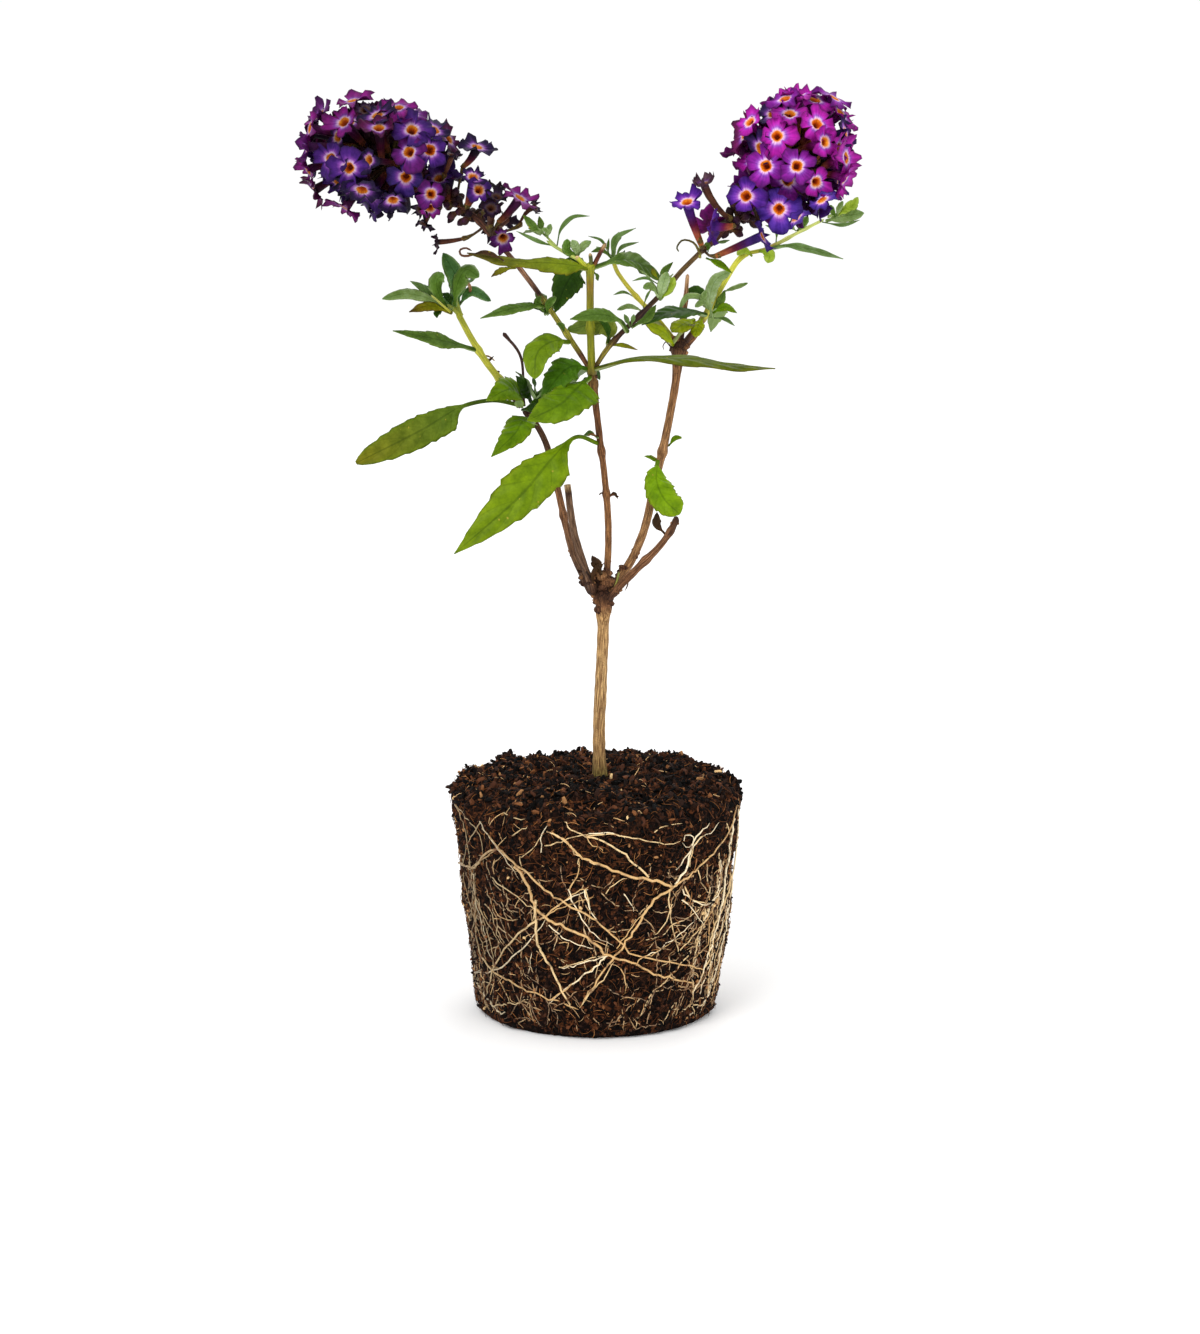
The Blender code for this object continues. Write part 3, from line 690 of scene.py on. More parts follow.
def thread_mesh(name, seed):
    """One bent three-sided thread, a few millimetres long, lying in its own XY plane."""
    draw = random.Random(seed)
    bend, sway = draw.uniform(-FIBRE_BEND, FIBRE_BEND), draw.uniform(-FIBRE_SWAY, FIBRE_SWAY)
    length = FIBRE_LENGTH * draw.uniform(*FIBRE_SHARES)
    steps = np.linspace(-0.5, 0.5, FIBRE_RINGS)
    aside = bend * (steps ** 2) * length + sway * steps ** 3 * length
    line = np.column_stack([steps * length, aside, ARCH_TOP - ARCH_DROP * steps ** 2])
    points, faces = tube(line, FIBRE_RADIUS * (FIBRE_TAPER - np.abs(steps)), 3)
    mesh = bpy.data.meshes.new(name)
    mesh.from_pydata(points.tolist(), [], faces)
    return mesh


threads = hidden_collection("threads", [thread_mesh(f"thread_{n}", n) for n in range(FIBRE_KINDS)])
fibre_finish = speck_finish("fibres", FIBRE_TONES)
for fibre_name, fibre_share, fibre_gap, fibre_seed in (
        ("top_fibres", "loose", 1.15, 11), ("side_fibres", "pressed", 0.97, 13)):
    strew(fibre_name, {
        "Shapes": threads, "Spacing": fibre_gap * MM, "Density": 1.0e6, "Smallest": 0.45 * MM,
        "Largest": 1.0 * MM, "Tumble": 0.3, "Share Name": fibre_share, "Seed": fibre_seed,
        "Finish": fibre_finish,
    }, smooth=True)

# %% [markdown]
# Roots that met the wall of the pot turned and ran along it, so they lie as a flat net on the root
# ball's side. The thick ones that show in the photograph are drawn along its pixels and dropped on the
# compost: a row gives the width, and then each pixel's place across and down. The rest of the way round,
# and all the thin ones, grow by a seeded rule: a root wanders on the side, thins, and forks into thinner
# roots.

# %% Roots
ROOT_STEP = 0.8 * MM
ROOT_SIDES = 5
ROOT_SLIM, ROOT_THINNEST = 0.52, 0.12 * MM
ROOT_LIFT = 0.26 * MM
ROOT_SHADE, SHADE_FROM, SHADE_OVER = 0.3, -25.0 * MM, 17.0 * MM
ROOT_SINK = 0.35
ROOT_TAPER, ROOT_BULGE, ROOT_POINT = 0.45, 1.5, 0.3
FIRST_TURN, LATER_TURN, FORK_ANGLE, FORK_LENGTH = 0.05, 0.08, (0.4, 1.0), (0.3, 0.6)
ROOT_LOW, ROOT_HIGH = 1.5 * MM, 38.0 * MM
ROOT_COLOURS = ((230, 196, 138), (250, 232, 194), (206, 160, 94), (222, 190, 136))
THREAD_COLOURS = ((142, 100, 60), (108, 74, 48), (176, 134, 84), (200, 166, 118))
MAIN_ROOTS = (
    (0.95, 461, 862, 476, 868, 485, 855, 499, 849, 515, 862, 533, 876, 550, 893, 575, 908, 595, 919,
     615, 935, 630, 952, 665, 961, 690, 966, 703, 971),
    (1.25, 515, 865, 528, 883, 534, 903, 545, 918, 565, 926, 585, 935, 600, 948, 606, 955, 628, 961,
     653, 973, 675, 979, 693, 983),
    (0.9, 545, 918, 535, 920, 523, 930, 508, 945, 494, 971, 490, 985, 488, 995),
    (1.1, 536, 900, 536, 935, 545, 958, 560, 985, 571, 1006), (0.7, 545, 918, 558, 905, 573, 895, 590, 885),
    (0.7, 478, 971, 494, 971, 510, 960, 525, 947, 545, 920),
    (0.7, 494, 971, 480, 947, 477, 910, 475, 875, 465, 865), (0.8, 494, 971, 515, 983, 540, 995, 580, 1008),
    (1.2, 671, 888, 655, 880, 635, 877, 615, 871, 595, 862, 580, 856, 567, 842, 550, 832),
    (0.8, 648, 876, 632, 862, 615, 847, 600, 840, 587, 835, 572, 830, 565, 821),
    (0.85, 671, 888, 680, 880, 692, 872, 710, 855, 725, 835, 737, 800),
    (0.85, 674, 884, 686, 867, 690, 850, 695, 835, 710, 822),
    (1.0, 671, 888, 660, 895, 647, 908, 637, 922, 627, 940, 615, 955, 600, 975, 590, 992, 580, 1008),
    (0.6, 669, 890, 669, 907, 671, 930, 676, 947, 680, 956), (0.6, 684, 886, 688, 898, 705, 905, 715, 898),
    (0.6, 587, 835, 615, 834, 625, 837, 647, 841, 665, 844, 680, 842),
    (0.9, 732, 818, 727, 855, 722, 890, 715, 925, 707, 952, 702, 970, 690, 994),
    (0.7, 730, 875, 720, 910, 710, 935, 709, 960, 705, 995),
    (0.8, 737, 810, 733, 860, 727, 910, 720, 948, 712, 985), (0.6, 606, 955, 590, 960, 572, 966, 560, 966),
    (0.7, 606, 955, 590, 970, 570, 985, 550, 1002), (0.6, 570, 890, 577, 875, 580, 858),
    (0.6, 585, 890, 590, 910, 600, 925),
    (0.5, 457, 805, 465, 825, 470, 847, 473, 875, 478, 900, 490, 925, 502, 945),
    (0.5, 481, 822, 500, 850, 520, 880), (0.4, 482, 822, 474, 833, 468, 849, 464, 868),
    (0.4, 457, 804, 466, 816, 474, 826, 482, 837, 483, 864), (0.5, 484, 828, 494, 839, 499, 849, 509, 859),
    (0.65, 461, 864, 474, 867, 484, 859, 497, 849, 507, 835), (0.3, 493, 868, 498, 859, 500, 857, 502, 856),
    (0.4, 522, 866, 519, 855, 523, 857, 534, 847, 542, 837, 548, 824),
    (0.45, 540, 851, 542, 839, 544, 831, 549, 824),
    (0.6, 549, 831, 562, 839, 571, 849, 579, 857, 597, 864, 608, 868),
    (0.4, 579, 857, 580, 861, 579, 864, 578, 868), (0.5, 546, 846, 562, 841, 577, 835, 589, 833),
    (0.5, 589, 833, 605, 832, 616, 834, 625, 837), (0.3, 585, 835, 589, 847, 601, 849, 603, 852),
    (0.45, 681, 841, 683, 834, 690, 833, 695, 839, 692, 847, 686, 850, 682, 843),
    (0.5, 676, 868, 688, 853, 696, 839, 708, 833, 719, 822), (0.4, 688, 866, 692, 849, 698, 837, 704, 835),
    (0.35, 655, 831, 665, 825, 673, 824, 681, 824), (0.45, 505, 815, 515, 819, 520, 819, 525, 819),
    (0.3, 512, 835, 520, 829, 525, 828, 529, 826), (0.3, 615, 818, 620, 820, 624, 822, 628, 824),
    (0.4, 725, 822, 730, 837, 727, 857, 725, 868), (0.5, 479, 897, 484, 916, 492, 946, 495, 969),
    (0.5, 474, 872, 476, 895, 482, 918, 487, 938, 494, 965),
    (0.4, 464, 872, 468, 889, 474, 914, 480, 934, 486, 953, 489, 977),
    (0.4, 487, 903, 494, 918, 499, 934, 504, 946), (0.3, 497, 914, 503, 918, 513, 921, 519, 920),
    (0.5, 493, 878, 509, 891, 523, 901, 533, 909, 544, 916), (0.4, 534, 899, 536, 909, 534, 916, 533, 922),
    (0.55, 569, 889, 571, 899, 579, 914, 589, 926, 595, 936, 614, 945),
    (0.35, 586, 889, 589, 903, 589, 914, 590, 926), (0.35, 548, 914, 560, 907, 571, 904, 595, 896),
    (0.3, 550, 913, 562, 902, 581, 894, 589, 889), (0.4, 605, 892, 614, 883, 620, 879, 628, 878),
    (0.35, 624, 893, 628, 899, 632, 907, 633, 913), (0.5, 550, 926, 562, 936, 569, 941, 581, 945, 596, 950),
    (0.3, 560, 944, 569, 938, 569, 946, 566, 951), (0.5, 559, 967, 571, 966, 585, 961, 606, 955),
    (0.4, 497, 973, 503, 986, 508, 995, 511, 1002), (0.35, 476, 971, 485, 968, 493, 972, 496, 970),
    (0.35, 529, 973, 531, 963, 531, 957, 532, 951),
    (0.6, 681, 889, 686, 897, 698, 904, 708, 906, 715, 897, 721, 889, 727, 881),
    (0.45, 682, 900, 692, 909, 698, 918, 704, 928), (0.35, 696, 870, 699, 881, 703, 890, 711, 893),
    (0.35, 669, 905, 663, 924, 657, 935, 651, 929), (0.35, 678, 949, 688, 940, 698, 928, 704, 922),
    (0.55, 693, 957, 700, 951, 707, 942, 708, 918, 712, 907, 725, 883),
    (0.65, 691, 993, 700, 977, 707, 957, 712, 938, 717, 918, 723, 899, 729, 879),
    (0.5, 698, 994, 707, 969, 714, 948, 721, 924, 725, 899), (0.4, 706, 994, 710, 977, 715, 953, 722, 934),
    (0.4, 711, 996, 714, 981, 717, 969, 720, 957), (0.45, 621, 968, 625, 977, 626, 984, 626, 992),
    (0.6, 583, 1004, 595, 986, 606, 975, 613, 961), (0.6, 551, 1001, 569, 986, 589, 971, 605, 957),
    (0.35, 635, 965, 643, 953, 651, 957, 661, 948, 671, 940), (0.4, 648, 956, 663, 946, 678, 934, 696, 918),
    (0.5, 616, 948, 626, 934, 638, 918, 647, 907),
)
PIXELS_A_STEP, PIXEL_WOBBLE = 4.5, 0.7
WANDERERS, THREADS = 38, 360
WIGGLE, NEW_TURN, FORK_CHANCE, FORK_SLIM = 0.14, 0.06, 0.11, 0.62
THREAD_WIDTH = 0.45
EDGE_ROOTS = ((-0.32, 15, 0.0), (math.pi + 0.32, 5, 1.0))
KINK = 0.11 * MM
roots = Basket("roots")
chance = random.Random(41)


def on_compost(start, toward):
    """The place and outward direction where a ray first meets the compost, or nothing."""
    place, outward, _, _ = compost_tree.ray_cast(start, toward)
    return (place, outward) if place else None


def seen_on_compost(px, py):
    """The place on the compost that shows at this pixel of the photograph."""
    return on_compost(CAMERA_PLACE, sight_line(px, py))


def on_side(angle, height):
    """The place on the root ball's side at this angle round it and this height."""
    ray = Vector((math.cos(angle), math.sin(angle), 0.0))
    far = Vector((0.0, 0.0, height)) + ray * 2.0 * ball_high.x
    return on_compost(far, -ray)


def lay_root(hits, width, colour=None):
    """A tapering root through places on the compost, sunk a little into it."""
    hits = [hit for hit in hits if hit]
    if len(hits) < 4:
        return
    radius = max(ROOT_THINNEST, width * ROOT_SLIM / 2 * MM)
    places = np.array([place for place, _ in hits])
    lifts = np.array([outward for _, outward in hits])
    for _ in range(2):
        places[1:-1] = (places[:-2] + 2 * places[1:-1] + places[2:]) / 4
    places[1:-1] += [[chance.gauss(0.0, KINK) for _ in range(3)] for _ in places[1:-1]]
    taper = radius * (1.0 - ROOT_TAPER * np.linspace(0.0, 1.0, len(places)) ** ROOT_BULGE)
    taper[-1] *= ROOT_POINT
    away = taper * (1.0 - ROOT_SINK) + (0.0 if colour else ROOT_LIFT)
    points, faces = tube(places + lifts * away[:, None], taper, ROOT_SIDES)
    # Painted shade: a root's colour falls to ROOT_SHADE of itself towards the root ball's left edge.
    light = ROOT_SHADE + (1.0 - ROOT_SHADE) * np.clip((points[:, :1] - SHADE_FROM) / SHADE_OVER, 0.0, 1.0)
    roots.add(points, faces, tint=np.array(srgb(*(colour or chance.choice(ROOT_COLOURS[:3])))) * light)


def wandering(angle, height, heading, length, width, forks):
    """Grows one root along the side by small turns, and thinner roots from it."""
    hits = []
    turn = chance.uniform(-FIRST_TURN, FIRST_TURN)
    for _ in range(int(length * MM / ROOT_STEP)):
        if not ROOT_LOW < height < ROOT_HIGH:
            break
        hits.append(on_side(angle, height))
        heading += turn + chance.gauss(0.0, WIGGLE)
        if chance.random() < NEW_TURN:
            turn = chance.uniform(-LATER_TURN, LATER_TURN)
        angle += math.cos(heading) * ROOT_STEP / ball_high.x
        height += math.sin(heading) * ROOT_STEP
        if forks and chance.random() < FORK_CHANCE:
            fork = heading + chance.choice((-1, 1)) * chance.uniform(*FORK_ANGLE)
            rest = length * chance.uniform(*FORK_LENGTH)
            wandering(angle, height, fork, rest, width * FORK_SLIM, forks - 1)
    lay_root(hits, width, chance.choice(THREAD_COLOURS if width < THREAD_WIDTH else ROOT_COLOURS))


for root_width, *numbers in MAIN_ROOTS:
    pixels = np.reshape(numbers, (-1, 2)).astype(float)
    line = resampled(pixels, max(5, int(length_along(pixels)[-1] / PIXELS_A_STEP)))
    wobble = [[chance.gauss(0.0, PIXEL_WOBBLE), chance.gauss(0.0, PIXEL_WOBBLE)] for _ in line]
    lay_root([seen_on_compost(*spot) for spot in line + wobble], root_width)
for index in range(WANDERERS):
    around = math.pi * (0.06 + 0.88 * (index + chance.random()) / WANDERERS)
    wandering(around, chance.uniform(4.0, 34.0) * MM, chance.uniform(0.0, math.tau),
              chance.uniform(25.0, 55.0), chance.uniform(0.55, 1.1), 3)
for side_angle, count, thin in EDGE_ROOTS:
    for _ in range(count):
        wandering(side_angle + chance.uniform(-0.35, 0.35), chance.uniform(24.0, 37.0) * MM,
                  chance.gauss(-math.pi / 2, 0.16), chance.uniform(16.0, 36.0),
                  chance.uniform(0.4, 0.8) * (1.0 - 0.45 * thin), 1)
for _ in range(THREADS):
    low_down = chance.uniform(0.0, 1.0) ** 0.9
    wandering(chance.uniform(0.0, math.tau), (2.0 + 35.0 * (1.0 - low_down)) * MM, chance.gauss(-1.5, 1.0),
              chance.uniform(3.0, 12.0), chance.uniform(0.2, 0.42), 1)


def root_finish():
    """Cream to ochre root skin, darker where soil still clings to it."""
    material, tree, shader = new_finish("roots", 0.6)
    place = object_place(tree)
    soil = stretched(tree, noise_of(tree, place, 1.6 * MM), 0.52, 0.72)
    tint = note(tree, "tint")
    skin = mixed(tree, stretched(tree, noise_of(tree, place, 0.5 * MM), 0.3, 0.7), tint,
                 mixed(tree, 0.35, tint, srgb(240, 214, 170)))
    colour = mixed(tree, soil, skin, srgb(112, 74, 42))
    dress(tree, shader, colour, 0.5, noise_of(tree, place, 0.3 * MM), 0.08 * MM)
    return material


hand_over(roots.piece(root_finish()), "compost")

# %% [markdown]
# The trunk is covered in long fibres, tan with clefts, and turns into a knobbly dark knuckle where
# it forks. Every stem gets the same treatment at its own size: a tube on the CAD stem's line, ridged
# along its length by stretched noise, with a swelling at each leaf node. The skin's colour is a few
# plain colours that follow each other along the stem, from old brown wood to green new growth. Over
# them the bark's own streaks are deepened into painted shade in the clefts and painted highlight on the
# ridges.

# %% Stem skins
TAN, CLEFT_SHADE, OLIVE = (198, 160, 108), (120, 84, 52), (128, 122, 62)
BROWN, DARK_BROWN, GREY_BROWN = (128, 92, 62), (62, 40, 28), (112, 90, 72)
PURPLE_BROWN, RUST, HAY, YELLOW_GREEN = (58, 36, 34), (112, 58, 40), (200, 172, 128), (162, 166, 44)
STEM_RING = 0.32 * MM
STREAK_WIDTH, STREAK_LENGTH = 0.16 * MM, 2.6 * MM
RIDGES_ROUND, LUMPS_ROUND, LUMPS_ALONG, LUMP_RELIEF, GNARLING = 2.4, 0.8, 0.7, 0.7, 2.5
SLIMMER = {"trunk": 0.94, "left_stem": 0.8, "cut_stub": 0.8, "middle_stem": 0.9, "dead_twig": 0.62,
           "middle_shoot": 1.12, "left_shoot": 1.3}
Stem = namedtuple("Stem", "node sides ridge foot tip knots skin")


def fade(first, last):
    """A skin that turns from one colour at the foot into another at the tip."""
    return (0.0, first), (1.0, last)


STEMS = (
    Stem("trunk", 36, 0.085, 0.6, 0.0, (), ((0.0, OLIVE), (0.06, (150, 128, 82)), (0.16, TAN),
     (0.5, (206, 170, 118)), (0.84, TAN), (0.9, BROWN), (0.96, DARK_BROWN))),
    Stem("left_stem", 18, 0.09, 1.6, 0.6, (0.42, 0.7), ((0.0, DARK_BROWN), (0.15, GREY_BROWN), (0.5, BROWN),
     (0.75, (96, 70, 50)), (1.0, DARK_BROWN))),
    Stem("cut_stub", 18, 0.1, 1.6, 0.2, (), ((0.0, DARK_BROWN), (0.2, GREY_BROWN), (0.85, (126, 104, 84)),
     (0.93, DARK_BROWN), (1.0, HAY))),
    Stem("middle_stem", 16, 0.08, 1.6, 1.9, (0.42, 0.62, 0.93), ((0.0, DARK_BROWN), (0.12, (150, 110, 70)),
     (0.5, (142, 102, 64)), (0.8, (110, 74, 48)), (1.0, (120, 96, 50)))),
    Stem("right_stem", 16, 0.075, 1.8, 0.8, (0.45, 0.58, 0.98), ((0.0, DARK_BROWN), (0.1, (160, 124, 84)),
     (0.5, (170, 132, 90)), (0.85, (150, 112, 74)), (1.0, DARK_BROWN))),
    Stem("lower_right_stem", 14, 0.1, 1.6, 0.3, (0.5, 0.85), ((0.0, DARK_BROWN), (0.2, (122, 88, 60)),
     (0.7, (136, 100, 70)), (1.0, DARK_BROWN))),
    Stem("dead_twig", 10, 0.1, 0.6, 0.3, (0.96,), ((0.0, DARK_BROWN), (0.6, (74, 56, 50)),
     (1.0, PURPLE_BROWN))),
    Stem("left_shoot", 14, 0.03, 0.6, 1.0, (0.3, 0.62), ((0.0, DARK_BROWN), (0.16, (74, 60, 30)),
     (0.28, (140, 146, 40)), (0.6, (170, 176, 56)), (1.0, (140, 150, 40)))),
    Stem("middle_shoot", 16, 0.03, 1.2, 1.2, (0.03, 0.42, 0.97), ((0.0, (84, 74, 26)),
     (0.15, (116, 124, 14)), (0.55, (112, 122, 14)), (0.8, (116, 98, 28)), (0.95, (124, 138, 22)))),
    Stem("left_flower_branch", 12, 0.04, 0.6, 1.5, (0.26, 0.5, 0.98), ((0.0, BROWN), (0.1, (96, 66, 44)),
     (0.17, (146, 150, 50)), (0.5, (166, 172, 66)), (0.58, PURPLE_BROWN), (0.72, (150, 116, 92)),
     (1.0, (92, 62, 48)))),
    Stem("right_flower_branch", 12, 0.04, 0.6, 1.5, (0.2, 0.42, 0.68, 0.96), ((0.0, DARK_BROWN),
     (0.1, (150, 146, 60)), (0.22, (78, 56, 40)), (0.45, (52, 34, 30)), (0.7, (96, 80, 46)),
     (1.0, (116, 96, 58)))),
    Stem("right_dead_stub", 12, 0.06, 0.6, 0.2, (0.35, 0.62), ((0.0, DARK_BROWN), (0.45, (84, 62, 44)),
     (0.6, (172, 134, 96)), (1.0, (206, 166, 126)))),
    Stem("right_upper_shoot", 14, 0.03, 0.8, 1.0, (0.26, 0.36, 0.98), ((0.0, DARK_BROWN),
     (0.22, (100, 72, 46)), (0.28, (172, 176, 66)), (0.45, (158, 164, 46)), (0.75, (200, 206, 70)),
     (1.0, (150, 160, 30)))),
    Stem("inner_shoot", 12, 0.03, 0.8, 1.0, (0.55,), ((0.0, BROWN), (0.12, YELLOW_GREEN),
     (0.5, (190, 184, 58)), (1.0, (176, 178, 62)))),
    Stem("top_right_twig", 10, 0.03, 0.6, 1.0, (0.32, 0.5, 0.75), ((0.0, (140, 150, 30)),
     (0.3, (126, 116, 44)), (0.36, (158, 166, 84)), (0.7, (196, 214, 120)), (1.0, (186, 206, 110)))),
    Stem("upper_left_twig", 10, 0.03, 0.5, 0.8, (0.5,), fade((186, 202, 100), (140, 168, 86))),
)
KNOT_SWELL, KNOT_REACH = 0.32, 0.9 * MM
ROUNDING = 0.04
ROUNDED = {"left_stem": ("foot", "tip"), "cut_stub": ("foot",)}
KNUCKLE_FROM, KNUCKLE_REACH, NO_KNUCKLE = 0.86, 0.05, 1.1
STEM_SEED_STEP = 3.7


def blend(shares, stops, colours):
    """The colours dealt out over the stops, read at the shares."""
    return np.column_stack([np.interp(shares, stops, colours[:, channel]) for channel in range(3)])


def relief_at(angle, along, seed):
    """How far the bark stands out at an angle and a distance: long ridges and a few lumps."""
    across = Vector((math.cos(angle), math.sin(angle), 0.0))
    ridge = noise.noise(across * RIDGES_ROUND + Vector((0.0, 0.0, along / STREAK_LENGTH + seed)))
    lump = noise.noise(across * LUMPS_ROUND + Vector((0.0, 0.0, along / MM * LUMPS_ALONG + seed)))
    return ridge + LUMP_RELIEF * lump


def lay_stem(basket, path, radii, sides, ridge, skin, knots=(), knuckle=NO_KNUCKLE, seed=0.0,
             rounded=("tip",)):
    """One ridged stem along a path, with a swelling at each knot and rougher bark past the knuckle."""
    run = length_along(path)
    shares = run / run[-1]
    if "tip" in rounded:
        radii = radii * np.sqrt(np.clip((run[-1] - run) / radii[-1], ROUNDING, 1.0))
    if "foot" in rounded:
        radii = radii * np.sqrt(np.clip(run / radii[0], ROUNDING, 1.0))
    swell = np.ones(len(path))
    for knot in knots:
        swell += KNOT_SWELL * np.exp(-((run - knot * run[-1]) / KNOT_REACH) ** 2)
    turn = np.linspace(0.0, math.tau, sides, endpoint=False)
    reach = np.empty((len(path), sides))
    for ring in range(len(path)):
        gnarled = max(0.0, min(1.0, (shares[ring] - knuckle) / KNUCKLE_REACH))
        rough = ridge * (1.0 + GNARLING * gnarled)
        for side in range(sides):
            relief = relief_at(turn[side], run[ring], seed)
            reach[ring, side] = radii[ring] * swell[ring] * (1.0 + rough * relief)
    points, faces = tube(path, reach, sides)
    grain = np.empty((len(path), sides, 3))
    grain[..., 0] = np.cos(turn) * radii[:, None]
    grain[..., 1] = np.sin(turn) * radii[:, None]
    grain[..., 2] = run[:, None] + seed
    stops, colours = [share for share, _ in skin], np.array([srgb(*colour) for _, colour in skin])
    skins = np.repeat(blend(shares, stops, colours), sides, axis=0)
    basket.add(points, faces, skin=skins, grain=grain.reshape(-1, 3))


def bark_finish(name, roughness, cleft_shade_share, dark_share, bump):
    """Skin colours with streaks along the stem, darker in the clefts and paler on the ridges, partly the
    bark's own streaks and partly painted shade and painted highlight, and fine dark specks.
    """
    material, tree, shader = new_finish(name, roughness)
    grain = note(tree, "grain", "Vector")
    drawn_out = (1.0, 1.0, STREAK_WIDTH / STREAK_LENGTH)
    long_grain = add_node(tree, "ShaderNodeVectorMath", {0: grain, 1: drawn_out},
                          operation="MULTIPLY").outputs["Vector"]
    streak = stretched(tree, noise_of(tree, long_grain, STREAK_WIDTH, 4.0), 0.38, 0.62)
    speck = stretched(tree, noise_of(tree, grain, 0.25 * MM, 2.0), 0.55, 0.72)
    skin = note(tree, "skin")
    # Painted shade, on top of the bark's own darker streaks: the skin deepened with a brown in the clefts,
    # where the streak noise that sets the bump is low.
    dark = mixed(tree, 1.0, skin, srgb(*CLEFT_SHADE), "MULTIPLY")
    # Painted highlight: the skin lightened on the ridges, where the streak noise is high.
    pale = mixed(tree, 0.5, skin, srgb(255, 226, 204), "SOFT_LIGHT")
    shaded_and_highlit_ribs = mixed(tree, streak, mixed(tree, cleft_shade_share, skin, dark), pale)
    colour = mixed(tree, arithmetic(tree, "MULTIPLY", speck, dark_share), shaded_and_highlit_ribs, srgb(46, 30, 20))
    dress(tree, shader, colour, 0.2, streak, bump)
    return material


BARK = bark_finish("bark", 0.72, 0.85, 0.6, 0.14 * MM)
GREEN_SKIN = bark_finish("green_skin", 0.42, 0.35, 0.12, 0.03 * MM)
stem_rows = {stem.node: measured(stem.node) for stem in STEMS}
SLOT_OF = {part["node"]: part["material_slot"] for part in frame["record"]["subparts"]}
stem_baskets = {slot: Basket(slot + "_stems") for slot in ("brown_bark", "grey_bark", "green_stem")}
for number, stem in enumerate(STEMS):
    rows = lengthened(stem_rows[stem.node], stem.foot * MM, stem.tip * MM)
    run = length_along(rows[:, :3])[-1]
    fine = resampled(rows, int(run / STEM_RING))
    radii = fine[:, 3] * SLIMMER.get(stem.node, 1.0)
    lay_stem(stem_baskets[SLOT_OF[stem.node]], fine[:, :3], radii, stem.sides, stem.ridge, stem.skin,
             stem.knots, KNUCKLE_FROM if stem.node == "trunk" else NO_KNUCKLE, STEM_SEED_STEP * number,
             ROUNDED.get(stem.node, ("tip",)))

# %% [markdown]
# Short twigs, leaf scars, cut stubs and dry hooks are too small for the CAD. Each is drawn from a pixel
# on its stem to a pixel at its tip, at the stem's own depth, so that it stays joined from every side.
# A row gives the basket it goes in, its thickness and its depth at both ends in millimetres, its
# colours, and its pixels as x and y by turns.

